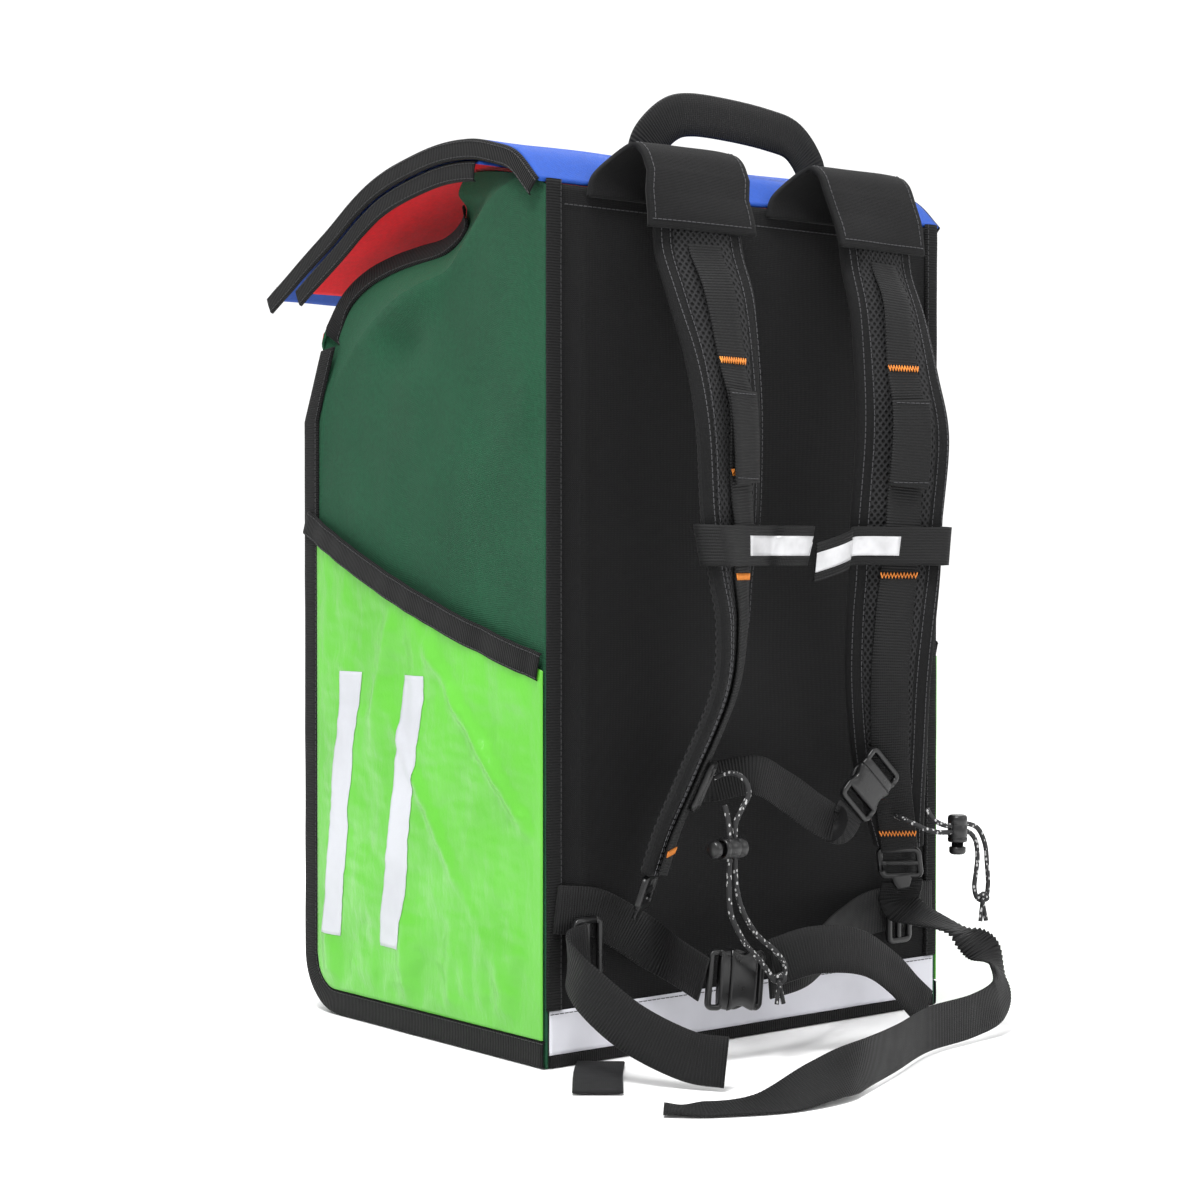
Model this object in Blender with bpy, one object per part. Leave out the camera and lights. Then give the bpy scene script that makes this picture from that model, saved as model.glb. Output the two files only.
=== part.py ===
"""A courier backpack standing on its bottom, with its harness towards -Y. Metres, +Z up.

The origin is the middle of the bag's bottom, on the floor. The left side is at -X.
"""

import math

import bpy
import numpy as np

# Bag body
BODY_WIDTH = 0.342
BODY_DEPTH = 0.270
BACK_HEIGHT = 0.541
FRONT_HEIGHT = 0.462
FRONT_LEAN = 0.026
LEAN_START = 0.405
FRONT_CORNER = 0.040
CLOTH = 0.0020
PADDING = 0.0060
RIDGE_HEIGHT = 0.0030
RIDGE_WIDTH = 0.0090
RIDGE_INSET = 0.0250
FOLD_DEPTH = 0.0220
GAP = 0.0004

# Bindings, hems and the side pockets
BINDING = 0.0170
BINDING_CLOTH = 0.0020
CORNER_BINDING = 0.0115
LID_BINDING = 0.0130
BAND_TOP = 0.4340
HEM = 0.0175
POCKET_SLACK = 0.0072
POCKET_FRONT_HEIGHT = 0.347
POCKET_BACK_HEIGHT = 0.253
STRIP_HEIGHT = 0.0270
STRIP_BOTTOM = 0.0080

# Lid and the flap under it
LID_OVERHANG = 0.0060
FLAP_DROP = 0.0136
FLAP_REACH = 0.152

# Handle
HANDLE_WEB = 0.0280
HANDLE_CLOTH = 0.0030
HANDLE_SPAN = 0.150
HANDLE_RISE = 0.0360
HANDLE_INSET = 0.0235

# Shoulder straps
STRAP_X = 0.0750
STRAP_PROUD = 0.0600
PAD_WIDTH = 0.0680
PAD_CLOTH = 0.0110
PAD_ROUND = 0.0040
CAP_WIDTH = 0.0830
CAP_ROOT = 0.1300
CAP_CLOTH = 0.0030
WEB = 0.0250
WEB_CLOTH = 0.0016
KEEPER = 0.0290
BAND = 0.0250
BAND_LOOSE = 0.0360
TAPE = 0.0125
TAPE_CLOTH = 0.0008

# Hip belt, loose webbing and its hardware
HIP_WEB = 0.0300
FRAME_THICK = 0.0040
FRAME_BAR = 0.0040
FRAME_SLOT = 0.0055
FRAME_REACH = FRAME_BAR * 1.5 + FRAME_SLOT
BUCKLE_REACH = 0.0255
LOCK_RADIUS = 0.0065
LOCK_LENGTH = 0.0180
BUTTON_TRAVEL = 0.0030
CORD = 0.0033
CORD_PITCH = 0.0043

BACK_Y = -BODY_DEPTH / 2
FRONT_Y = BODY_DEPTH / 2
SIDE_X = BODY_WIDTH / 2

# Columns of the left side panel from the back seam to the front seam. The crest is where the
# cloth turns inwards, and the edge is its bound rim at the mouth. y is a share of BODY_DEPTH,
# z of BACK_HEIGHT and tuck of FOLD_DEPTH.
SIDE_FOLD = (
    # crest_y, crest_z, edge_y, edge_z, tuck
    (-0.500, 0.985, -0.500, 0.992, 0.00),
    (-0.465, 0.993, -0.465, 1.002, 0.00),
    (-0.400, 1.006, -0.320, 1.018, 0.30),
    (-0.349, 1.000, -0.130, 1.030, 0.80),
    (-0.318, 0.992, -0.060, 1.012, 0.95),
    (-0.279, 0.980, -0.088, 0.992, 1.00),
    (-0.197, 0.943, -0.072, 0.975, 1.00),
    (-0.128, 0.912, -0.006, 0.960, 1.00),
    (-0.020, 0.899, 0.109, 0.955, 1.00),
    (0.090, 0.880, 0.219, 0.947, 0.90),
    (0.216, 0.850, 0.310, 0.932, 0.70),
    (0.324, 0.810, 0.382, 0.905, 0.45),
    (0.420, 0.760, 0.420, 0.856, 0.00),
)

# Profile of the lid from the back seam over the crest to its front tip.
LID_PROFILE = (
    # y share of BODY_DEPTH, z share of BACK_HEIGHT
    (-0.498, 0.9993),
    (-0.420, 1.034),
    (-0.340, 1.049),
    (-0.225, 1.061),
    (-0.065, 1.060),
    (0.165, 1.037),
    (0.377, 0.985),
    (0.655, 0.912),
)

# The left shoulder pad's middle line from under its cap to its lower end.
STRAP_PATH = (
    # z share of BACK_HEIGHT, x share of STRAP_X, proud share of STRAP_PROUD, width share, twist
    (0.988, 1.04, 0.440, 0.97, 0),
    (0.961, 1.04, 0.510, 0.97, -3),
    (0.920, 1.04, 0.577, 0.99, -5),
    (0.869, 1.03, 0.750, 1.00, -2),
    (0.795, 1.01, 0.917, 0.97, 8),
    (0.721, 1.01, 1.017, 1.00, 16),
    (0.619, 0.97, 0.983, 0.97, 20),
    (0.555, 0.96, 0.967, 0.91, 29),
    (0.499, 0.93, 0.950, 0.87, 36),
    (0.425, 0.96, 0.867, 0.82, 40),
    (0.333, 1.16, 0.640, 0.74, 40),
    (0.268, 1.33, 0.500, 0.61, 38),
    (0.218, 1.44, 0.433, 0.50, 36),
)
PAD_STATIONS = 27
CAP_END = 3
KEEPER_ROWS = (8, 10)
BAND_ROWS = (13, 15)

# The cap's middle line above the pad: the sheet rises from the seam and turns over.
CAP_ARCH = (
    # proud share of STRAP_PROUD, z share of BACK_HEIGHT, width share from root 0 to cap 1
    (0.034, 0.984, 0.00),
    (0.045, 1.008, 0.15),
    (0.120, 1.030, 0.65),
    (0.270, 1.044, 1.00),
    (0.420, 1.034, 1.00),
    (0.520, 1.012, 1.00),
)

CAP_COLUMNS = (-1.0, -0.4, 0.4, 1.0)

# Routes of the loose webbing. x, y and z are shares of BODY_WIDTH, BODY_DEPTH and
# BACK_HEIGHT, and the last three columns are the direction of the webbing's width.
HIP_LEFT_ROUTE = (
    # x, y, z, wide_x, wide_y, wide_z
    (-0.485, -0.5135, 0.180, 0, 0, 1),
    (-0.400, -0.5200, 0.172, 0, 0, 1),
    (-0.330, -0.5220, 0.150, 0, 0, 1),
    (-0.272, -0.5600, 0.122, 0, 0, 1),
    (-0.2600, -0.6925, 0.0975, 0, 0, 1),
)
HIP_RIGHT_ROUTE = (
    (-0.1090, -0.7040, 0.092, 0, 0, 1),
    (0.0000, -0.6900, 0.100, 0, 0, 1),
    (0.1500, -0.6000, 0.120, 0, 0, 1),
    (0.3000, -0.5260, 0.132, 0, 0, 1),
    (0.4800, -0.5135, 0.135, 0, 0, 1),
)
TAIL_LEFT_ROUTE = (
    (-0.430, -0.5437, 0.136, 0, 0, 1),
    (-0.485, -0.5600, 0.130, 0, 0, 1),
    (-0.500, -0.6300, 0.106, 0, 0, 1),
    (-0.465, -0.7400, 0.064, 0.1, 0, 1),
    (-0.410, -0.8500, 0.036, 0.15, 0, 1),
    (-0.370, -0.9250, 0.0310, 0.15, 0, 1),
)
TAIL_RIGHT_ROUTE = (
    (-0.120, -0.7325, 0.110, 0, 0, 1),
    (-0.040, -0.7700, 0.122, 0, 0.2, 1),
    (0.060, -0.7900, 0.114, 0.1, 0.35, 1),
    (0.140, -0.7950, 0.085, 0.4, 0.4, 1),
    (0.190, -0.8000, 0.055, 0.6, 0.4, 1),
    (0.225, -0.8050, 0.036, 0.6, 0.4, 1),
)
# The floor webbing runs on from the right ladder lock.
FLOOR_ROUTE = (
    (0.390, -0.740, 0.110, -0.4, 0.75, 0.35),
    (0.400, -0.830, 0.072, -0.2, 0.5, 0.8),
    (0.360, -0.880, 0.044, 0, 0.15, 1),
    (0.270, -0.900, 0.0320, 0, 0, 1),
    (0.120, -0.935, 0.0300, 0, 0, 1),
    (-0.050, -1.040, 0.0300, 0, 0, 1),
    (-0.200, -1.120, 0.0300, 0, 0.2, 1),
    (-0.300, -1.130, 0.0220, 0, 1, 0.8),
    (-0.400, -1.110, 0.0070, -0.3, 1, 0.1),
    (-0.500, -1.050, 0.0035, -0.6, 1, 0),
    (-0.555, -0.990, 0.0035, -0.7, 1, 0),
)
END_ROUTE = (
    (-0.400, -0.540, 0.0030, 1, -0.9, 0),
    (-0.470, -0.640, 0.0030, 1, -0.9, 0),
    (-0.560, -0.780, 0.0030, 1, -0.9, 0),
)
STERNUM_ROUTE = (
    (-0.100, -0.645, 0.322, 0, 0, 1),
    (-0.020, -0.640, 0.300, 0, 0, 1),
    (0.050, -0.650, 0.272, 0.2, 0, 1),
)
GLIDE_HEIGHT = 0.336
GLIDE_SHIFT = 0.0060
STERNUM_BUCKLE = (0.192, -0.6690, 0.309)
BUCKLE_ACROSS = (0.73, 0, -0.68)
BUCKLE_ALONG = (-0.68, 0.1, -0.73)

# Routes of the two elastic cords, chosen by hand. Each runs down through its lock, turns
# round in its knot and comes back up through the lock.
CORD_LEFT_POINTS = (
    (-0.0740, -0.1806, 0.1756),
    (-0.0730, -0.1885, 0.1785),
    (-0.0700, -0.1960, 0.1785),
    (-0.0668, -0.2010, 0.1740),
    (-0.0662, -0.2030, 0.1665),
    (-0.0700, -0.2020, 0.1590),
    (-0.0744, -0.2005, 0.1500),
    (-0.0749, -0.2000, 0.1400),
    (-0.0749, -0.2000, 0.1280),
    (-0.0745, -0.2005, 0.1120),
    (-0.0700, -0.2015, 0.0950),
    (-0.0590, -0.2030, 0.0790),
    (-0.0465, -0.2038, 0.0695),
    (-0.0376, -0.2040, 0.0601),
    (-0.0366, -0.2040, 0.0540),
    (-0.0400, -0.2040, 0.0497),
    (-0.0450, -0.2040, 0.0495),
    (-0.0485, -0.2040, 0.0530),
    (-0.0560, -0.2035, 0.0620),
    (-0.0690, -0.2020, 0.0760),
    (-0.0785, -0.2008, 0.0930),
    (-0.0800, -0.2003, 0.1110),
    (-0.0792, -0.2000, 0.1280),
    (-0.0792, -0.2000, 0.1400),
    (-0.0795, -0.1990, 0.1510),
    (-0.0800, -0.1965, 0.1600),
)
CORD_RIGHT_POINTS = (
    (0.0952, -0.1714, 0.1395),
    (0.0935, -0.1790, 0.1385),
    (0.0945, -0.1880, 0.1360),
    (0.0990, -0.1950, 0.1325),
    (0.1060, -0.1990, 0.1305),
    (0.1140, -0.2000, 0.1299),
    (0.1240, -0.2000, 0.1299),
    (0.1340, -0.2000, 0.1290),
    (0.1410, -0.2003, 0.1230),
    (0.1430, -0.2005, 0.1120),
    (0.1415, -0.2005, 0.1010),
    (0.1400, -0.2005, 0.0920),
    (0.1420, -0.2005, 0.0850),
    (0.1470, -0.2005, 0.0822),
    (0.1520, -0.2005, 0.0850),
    (0.1535, -0.2005, 0.0930),
    (0.1525, -0.2005, 0.1050),
    (0.1505, -0.2005, 0.1190),
    (0.1440, -0.2003, 0.1300),
    (0.1340, -0.2000, 0.1342),
    (0.1240, -0.2000, 0.1342),
    (0.1140, -0.1990, 0.1342),
    (0.1080, -0.1940, 0.1380),
    (0.1060, -0.1890, 0.1450),
)

# Colours and finishes: red, green, blue, roughness, metallic
FINISHES = {
    "green_canvas": (0.020, 0.125, 0.060, 0.85, 0.0),
    "lime_nylon": (0.130, 0.720, 0.060, 0.45, 0.0),
    "blue_canvas": (0.030, 0.110, 0.560, 0.75, 0.0),
    "red_lining": (0.600, 0.006, 0.015, 0.70, 0.0),
    "black_canvas": (0.012, 0.012, 0.013, 0.90, 0.0),
    "black_binding": (0.010, 0.010, 0.010, 0.80, 0.0),
    "black_webbing": (0.011, 0.011, 0.012, 0.75, 0.0),
    "black_mesh": (0.012, 0.012, 0.012, 0.90, 0.0),
    "white_vinyl": (0.780, 0.780, 0.820, 0.45, 0.0),
    "reflective_tape": (0.620, 0.620, 0.630, 0.35, 0.0),
    "black_plastic": (0.012, 0.012, 0.012, 0.25, 0.0),
    "elastic_cord": (0.015, 0.015, 0.016, 0.80, 0.0),
}


def material(finish):
    """The finish's material, made once."""
    if finish in bpy.data.materials:
        return bpy.data.materials[finish]
    red, green, blue, roughness, metallic = FINISHES[finish]
    made = bpy.data.materials.new(finish)
    made.use_nodes = True
    shader = made.node_tree.nodes["Principled BSDF"]
    shader.inputs["Base Color"].default_value = (red, green, blue, 1.0)
    shader.inputs["Roughness"].default_value = roughness
    shader.inputs["Metallic"].default_value = metallic
    made.diffuse_color = (red, green, blue, 1.0)
    return made


def add_object(name, finish, points, faces):
    """A mesh object whose faces all point outwards."""
    points = np.asarray(points, float).reshape(-1, 3)
    triangles = []
    for face in faces:
        for k in range(1, len(face) - 1):
            triangles.append((face[0], face[k], face[k + 1]))
    corners = points[np.array(triangles)]
    volume = np.einsum("ij,ij->i", corners[:, 0], np.cross(corners[:, 1], corners[:, 2])).sum()
    if volume < 0:
        triangles = [t[::-1] for t in triangles]
    mesh = bpy.data.meshes.new(name)
    mesh.from_pydata(points.tolist(), [], triangles)
    mesh.materials.append(material(finish))
    made = bpy.data.objects.new(name, mesh)
    bpy.context.scene.collection.objects.link(made)
    return made


def slab(name, finish, outer, inner):
    """A closed sheet between two grids of points, each with the shape (rows, columns, 3)."""
    rows, columns = outer.shape[:2]
    count = rows * columns
    faces = []
    for i in range(rows - 1):
        for j in range(columns - 1):
            a = i * columns + j
            b, c, d = a + 1, a + columns + 1, a + columns
            faces += [(a, b, c), (a, c, d)]
            faces += [(count + c, count + b, count + a), (count + d, count + c, count + a)]
    rim = [j for j in range(columns)]
    rim += [i * columns + columns - 1 for i in range(1, rows)]
    rim += [(rows - 1) * columns + j for j in range(columns - 2, -1, -1)]
    rim += [i * columns for i in range(rows - 2, 0, -1)]
    for k, here in enumerate(rim):
        after = rim[(k + 1) % len(rim)]
        faces += [(after, here, count + here), (after, count + here, count + after)]
    return add_object(name, finish, np.concatenate([outer.reshape(-1, 3), inner.reshape(-1, 3)]), faces)


def loft(name, finish, rings):
    """A closed solid through rings of equal size, with flat ends."""
    count, size = rings.shape[:2]
    faces = [tuple(range(size))[::-1], tuple((count - 1) * size + k for k in range(size))]
    for i in range(count - 1):
        for k in range(size):
            a, b = i * size + k, i * size + (k + 1) % size
            faces += [(a, b, b + size), (a, b + size, a + size)]
    return add_object(name, finish, rings, faces)


def plate(name, finish, across, along, thick, holes, place):
    """A flat plate of grid cells, without the cells named in holes, moved by place."""
    cells = {(i, j) for i in range(len(across) - 1) for j in range(len(along) - 1)} - set(holes)
    width, points, faces = len(along), [], []
    for side in (-0.5, 0.5):
        points += [place((x, y, side * thick)) for x in across for y in along]
    top = len(across) * width
    for i, j in sorted(cells):
        a, b, c, d = i * width + j, (i + 1) * width + j, (i + 1) * width + j + 1, i * width + j + 1
        faces += [(a, d, c, b), (top + a, top + b, top + c, top + d)]
        for one, two, beyond in ((a, b, (i, j - 1)), (b, c, (i + 1, j)), (c, d, (i, j + 1)), (d, a, (i - 1, j))):
            if beyond not in cells:
                faces.append((one, two, top + two, top + one))
    used = sorted({k for face in faces for k in face})
    index = {k: n for n, k in enumerate(used)}
    return add_object(name, finish, [points[k] for k in used], [[index[k] for k in f] for f in faces])


def smooth(rows, count):
    """Rows of numbers read at equal steps along a Catmull-Rom curve through them."""
    rows = np.asarray(rows, float)
    padded = np.vstack([2 * rows[0] - rows[1], rows, 2 * rows[-1] - rows[-2]])
    result = []
    for place in np.linspace(0, len(rows) - 1, count):
        i = min(int(place), len(rows) - 2)
        t = place - i
        p0, p1, p2, p3 = padded[i : i + 4]
        cubic = 2 * p1 + (p2 - p0) * t + (2 * p0 - 5 * p1 + 4 * p2 - p3) * t**2
        result.append((cubic + (3 * p1 - p0 - 3 * p2 + p3) * t**3) / 2)
    return np.array(result)


def unit(vector):
    return np.asarray(vector, float) / np.linalg.norm(vector)


def mirrored(points, side):
    """The points of the left side, or their mirror image for the right side."""
    return points * np.array([-side, 1.0, 1.0])


def frame_at(origin, across, along):
    """A function that places a plate's own coordinates in the world."""
    across, along = unit(across), unit(along)
    out = np.cross(across, along)

    def place(point):
        return np.asarray(origin) + across * point[0] + along * point[1] + out * point[2]

    return place


def on_body(rows):
    """Rows of body shares as metres, with any further columns kept."""
    rows = np.asarray(rows, float).copy()
    rows[:, :3] *= (BODY_WIDTH, BODY_DEPTH, BACK_HEIGHT)
    return rows


def cut(target, name, low, high):
    """Cuts a box out of the target."""
    corners = [(x, y, z) for x in (low[0], high[0]) for y in (low[1], high[1]) for z in (low[2], high[2])]
    faces = [(0, 1, 3, 2), (4, 6, 7, 5), (0, 4, 5, 1), (2, 3, 7, 6), (0, 2, 6, 4), (1, 5, 7, 3)]
    cutter = add_object(name, "black_plastic", corners, faces)
    cutter.hide_render = True
    cutter.display_type = "WIRE"
    boolean = target.modifiers.new(name, "BOOLEAN")
    boolean.operation = "DIFFERENCE"
    boolean.object = cutter
    return cutter


def front_edge(z):
    """The y of the body's front face at height z."""
    lean = max(0.0, (z - LEAN_START) / (FRONT_HEIGHT - LEAN_START))
    if z >= FRONT_CORNER:
        return FRONT_Y - FRONT_LEAN * lean
    return FRONT_Y - FRONT_CORNER + math.sqrt(max(0.0, FRONT_CORNER**2 - (FRONT_CORNER - z) ** 2))


def foot_height(y):
    """The height of the body's lower edge at depth y."""
    inside = min(max(0.0, y - FRONT_Y + FRONT_CORNER), FRONT_CORNER)
    return FRONT_CORNER - math.sqrt(FRONT_CORNER**2 - inside**2)


def side_surface(rows_below, rows_fold):
    """The left side panel's outer face, from the bottom up to its bound edge."""
    table = np.array(SIDE_FOLD)
    foot_y = np.linspace(BACK_Y, FRONT_Y, len(table))
    floor = np.array([foot_height(y) for y in foot_y])
    levels = []
    for share in np.linspace(0, 1, rows_below):
        y = foot_y + (table[:, 0] * BODY_DEPTH - foot_y) * share**2
        z = floor + (table[:, 1] * BACK_HEIGHT - floor) * share
        y[-1] = front_edge(z[-1])
        levels.append(np.stack([np.full(len(y), -SIDE_X), y, z], 1))
    crest = levels[-1]
    edge = np.stack([-SIDE_X + table[:, 4] * FOLD_DEPTH, table[:, 2] * BODY_DEPTH, table[:, 3] * BACK_HEIGHT], 1)
    edge[-1, 1:] = (front_edge(FRONT_HEIGHT), FRONT_HEIGHT)
    for share in np.linspace(0, 1, rows_fold + 1)[1:]:
        row = crest * (1 - share) + edge * share
        row[:, 0] = crest[:, 0] + (edge[:, 0] - crest[:, 0]) * math.sin(share * math.pi / 2)
        levels.append(row)
    return np.array(levels)


def hem_height(y):
    """The height of the side pocket's upper edge at depth y, slightly curved."""
    share = (y - BACK_Y) / BODY_DEPTH
    slope = POCKET_BACK_HEIGHT + (POCKET_FRONT_HEIGHT - POCKET_BACK_HEIGHT) * share
    return slope - HEM * 0.4 * math.sin(math.pi * share)


def side_outline(inset):
    """The side's outline from the back bottom corner round to the front top, moved in by inset."""
    radius = FRONT_CORNER - inset
    points = [(BACK_Y, inset), (FRONT_Y - FRONT_CORNER * 3, inset)]
    for turn in np.radians(np.linspace(-90, 0, 6)):
        points.append((FRONT_Y - FRONT_CORNER + radius * math.cos(turn), FRONT_CORNER + radius * math.sin(turn)))
    points += [(FRONT_Y - inset, LEAN_START * share) for share in (0.3, 0.65, 0.99)]
    points.append((front_edge(BAND_TOP) - inset, BAND_TOP + inset * 0.4))
    return np.array([(-SIDE_X - GAP, y, z) for y, z in points])


def side_panels():
    """Side panels that fold in at the mouth, with their outline and mouth bindings."""
    face = side_surface(7, 4)
    inner = face + (CLOTH, 0, 0)
    band = np.stack([side_outline(0.0), side_outline(BINDING)])
    rim = face[-3:, 5:] - (GAP, 0, 0)
    for side, name in ((-1, "left"), (1, "right")):
        slab("side_panel_" + name, "green_canvas", mirrored(face, side), mirrored(inner, side))
        out = band - (BINDING_CLOTH, 0, 0)
        slab("side_binding_" + name, "black_binding", mirrored(out, side), mirrored(band, side))
        out = rim - (BINDING_CLOTH, 0, 0)
        slab("mouth_binding_" + name, "black_binding", mirrored(out, side), mirrored(rim, side))


def pocket_slack(y, z):
    """How far the side pocket stands off the side panel."""
    across = (y - BACK_Y - CORNER_BINDING) / (BODY_DEPTH - CORNER_BINDING - BINDING)
    up = (z - BINDING) / (hem_height(y) - BINDING)
    wide = max(0.0, 1 - abs(2 * across - 1) ** 4)
    return POCKET_SLACK * wide * min(1.0, max(0.0, up) * 5) ** 0.5


def side_pockets():
    """Side pockets of light cloth with a bound upper hem, open at the top."""
    low = BINDING + GAP
    depths = np.linspace(BACK_Y + GAP, FRONT_Y - BINDING - GAP, 11)
    for side, name in ((-1, "left"), (1, "right")):
        for piece, finish, rows in (("side_pocket_", "lime_nylon", 8), ("pocket_hem_", "black_binding", 3)):
            grid = []
            for share in np.linspace(0, 1, rows):
                line = []
                for y in depths:
                    corner = max(0.0, y - (FRONT_Y - FRONT_CORNER))
                    radius = FRONT_CORNER - BINDING - GAP
                    start = low + radius - math.sqrt(max(0.0, radius**2 - min(corner, radius) ** 2))
                    if piece == "side_pocket_":
                        z = start + (hem_height(y) - HEM - GAP - start) * share
                    else:
                        z = hem_height(y) - HEM * (1 - share)
                    line.append((-SIDE_X - GAP - pocket_slack(y, z), y, z))
                grid.append(line)
            grid = np.array(grid)
            outer = grid - (CLOTH * 0.75, 0, 0)
            slab(piece + name, finish, mirrored(outer, side), mirrored(grid, side))


def swept_across(profile, normal_shift, half_width, columns):
    """A grid of the profile's points (y, z), moved by normal_shift and swept from side to side."""
    tangent = np.gradient(profile, axis=0)
    tangent /= np.linalg.norm(tangent, axis=1)[:, None]
    normal = np.stack([-tangent[:, 1], tangent[:, 0]], 1)
    moved = profile + normal * normal_shift
    grid = [[(x, y, z) for y, z in moved] for x in np.linspace(-half_width, half_width, columns)]
    return np.array(grid)


def back_relief(x, z):
    """Height of the back panel's soft upright ridges."""
    fade = min(1.0, max(0.0, (z - 0.06) / 0.03), max(0.0, (BACK_HEIGHT - 0.03 - z) / 0.03))
    away = (abs(x) - (SIDE_X - RIDGE_INSET)) / RIDGE_WIDTH
    return RIDGE_HEIGHT * fade * math.exp(-away * away * 4)


def body_panels():
    """Back, bottom and front panels, the corner bindings and the white strip."""
    wide = SIDE_X - CLOTH - GAP
    ridge = SIDE_X - RIDGE_INSET
    xs = [-wide, -ridge - RIDGE_WIDTH, -ridge - RIDGE_WIDTH / 2, -ridge, -ridge + RIDGE_WIDTH / 2, -ridge + RIDGE_WIDTH]
    xs = xs + [0.0] + [-x for x in xs[::-1]]
    top = BACK_HEIGHT - CLOTH - GAP
    zs = [0.0, 0.06, 0.09, top * 0.5, top * 0.75, top - 0.05, top - 0.02, top]
    outer = np.array([[(x, BACK_Y - back_relief(x, z), z) for x in xs] for z in zs])
    inner = np.array([[(x, BACK_Y + PADDING, z) for x in xs] for z in zs])
    slab("back_panel", "black_canvas", outer, inner)

    foot = np.array([[(x, y, 0.0) for x in (-wide, wide)] for y in (BACK_Y + PADDING + GAP, FRONT_Y - FRONT_CORNER - GAP)])
    slab("bottom_panel", "black_canvas", foot, foot + (0, 0, CLOTH))

    profile = [(FRONT_Y - FRONT_CORNER * (1 - math.sin(a)), FRONT_CORNER * (1 - math.cos(a))) for a in np.radians(np.linspace(0, 90, 7))]
    profile += [(front_edge(z), z) for z in np.linspace(LEAN_START * 0.5, LEAN_START, 2)]
    profile += [(front_edge(FRONT_HEIGHT), FRONT_HEIGHT)]
    profile = np.array(profile)
    outer = swept_across(profile, 0.0, wide, 3)
    inner = swept_across(profile, CLOTH, wide, 3)
    for grid in (outer, inner):
        grid[:, -1, 0] *= (wide - CLOTH * 4) / wide
        grid[:, -2, 0] *= (wide - CLOTH * 1.5) / wide
    slab("front_panel", "black_canvas", outer, inner)

    front = BACK_Y - GAP
    strip = np.array([[(x, front, z) for x in (-wide, 0.0, wide)] for z in (STRIP_BOTTOM, STRIP_BOTTOM + STRIP_HEIGHT)])
    slab("back_strip", "white_vinyl", strip - (0, CLOTH / 2, 0), strip)
    for side, name in ((-1, "left"), (1, "right")):
        low = STRIP_BOTTOM + STRIP_HEIGHT + GAP
        band = np.array([[(x, front, z) for x in (-SIDE_X, -SIDE_X + CORNER_BINDING)] for z in (low, BACK_HEIGHT / 2, BACK_HEIGHT)])
        slab("back_binding_" + name, "black_binding", mirrored(band - (0, BINDING_CLOTH, 0), side), mirrored(band, side))


def lid_profile(count):
    """Points (y, z) of the lid's upper face from the back seam to the tip."""
    return smooth(LID_PROFILE, count) * (BODY_DEPTH, BACK_HEIGHT)


def lid():
    """The lid, the flap under it with its red underside, and their edge bindings."""
    profile = lid_profile(15)
    half = SIDE_X + LID_OVERHANG - BINDING_CLOTH - GAP
    slab("lid", "blue_canvas", swept_across(profile, 0.0, half, 5), swept_across(profile, -CLOTH, half, 5))

    kept = profile[(profile[:, 0] > -FLAP_REACH / 2) & (profile[:, 0] < FLAP_REACH)]
    under = swept_across(kept, -FLAP_DROP, half - BINDING_CLOTH, 5)
    slab("inner_flap", "red_lining", under, swept_across(kept, -FLAP_DROP - CLOTH, half - BINDING_CLOTH, 5))

    for side, name in ((-1, "left"), (1, "right")):
        top, low = swept_across(profile, 0.0, 1.0, 2)[0], swept_across(profile, -LID_BINDING, 1.0, 2)[0]
        band = np.stack([top, low])
        band[:, :, 0] = -half - GAP
        slab("lid_binding_" + name, "black_binding", mirrored(band - (BINDING_CLOTH, 0, 0), side), mirrored(band, side))
        rim = kept[1:]
        top, low = swept_across(rim, -FLAP_DROP, 1.0, 2)[0], swept_across(rim, -FLAP_DROP - LID_BINDING, 1.0, 2)[0]
        band = np.stack([top, low])
        band[:, :, 0] = -half + BINDING_CLOTH - GAP
        slab("flap_binding_" + name, "black_binding", mirrored(band - (BINDING_CLOTH, 0, 0), side), mirrored(band, side))


def handle():
    """The carrying handle: a flat band on edge, arched between its two feet on the lid."""
    profile = lid_profile(60)
    y = BACK_Y + HANDLE_INSET
    foot = np.interp(y + HANDLE_CLOTH / 2, profile[:, 0], profile[:, 1]) + GAP
    half, rise = HANDLE_SPAN / 2, HANDLE_RISE
    rows = ((-1.0, 0.0), (-0.93, 0.42), (-0.70, 0.85), (-0.45, 1.0), (0.0, 1.0), (0.45, 0.93), (0.75, 0.80), (0.95, 0.40), (1.0, 0.0))
    line = smooth(rows, 17) * (half, rise)
    tangent = np.gradient(line, axis=0)
    tangent /= np.linalg.norm(tangent, axis=1)[:, None]
    tangent[0], tangent[-1] = (0.0, 1.0), (0.0, -1.0)
    rings = []
    for (x, z), (tx, tz) in zip(line, tangent):
        ring = []
        for across, depth in ((-0.5, -0.5), (-0.5, 0.5), (0.5, 0.5), (0.5, -0.5)):
            shift = across * HANDLE_WEB
            ring.append((x - tz * shift, y + depth * HANDLE_CLOTH, foot + max(0.0, z + tx * shift)))
        rings.append(ring)
    loft("handle", "black_webbing", np.array(rings))


def strap_stations():
    """Middle points, width directions, outward directions and half widths along the left pad."""
    rows = smooth(STRAP_PATH, PAD_STATIONS)
    middle = np.stack([-rows[:, 1] * STRAP_X, BACK_Y - rows[:, 2] * STRAP_PROUD, rows[:, 0] * BACK_HEIGHT], 1)
    turn = np.radians(rows[:, 4])
    across = np.stack([np.cos(turn), np.sin(turn), np.zeros(len(turn))], 1)
    along = np.gradient(middle, axis=0)
    along /= np.linalg.norm(along, axis=1)[:, None]
    out = np.cross(along, across)
    out /= np.linalg.norm(out, axis=1)[:, None]
    out *= np.sign(-out[:, 1:2])
    return middle, across, out, rows[:, 3] * PAD_WIDTH / 2


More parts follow.
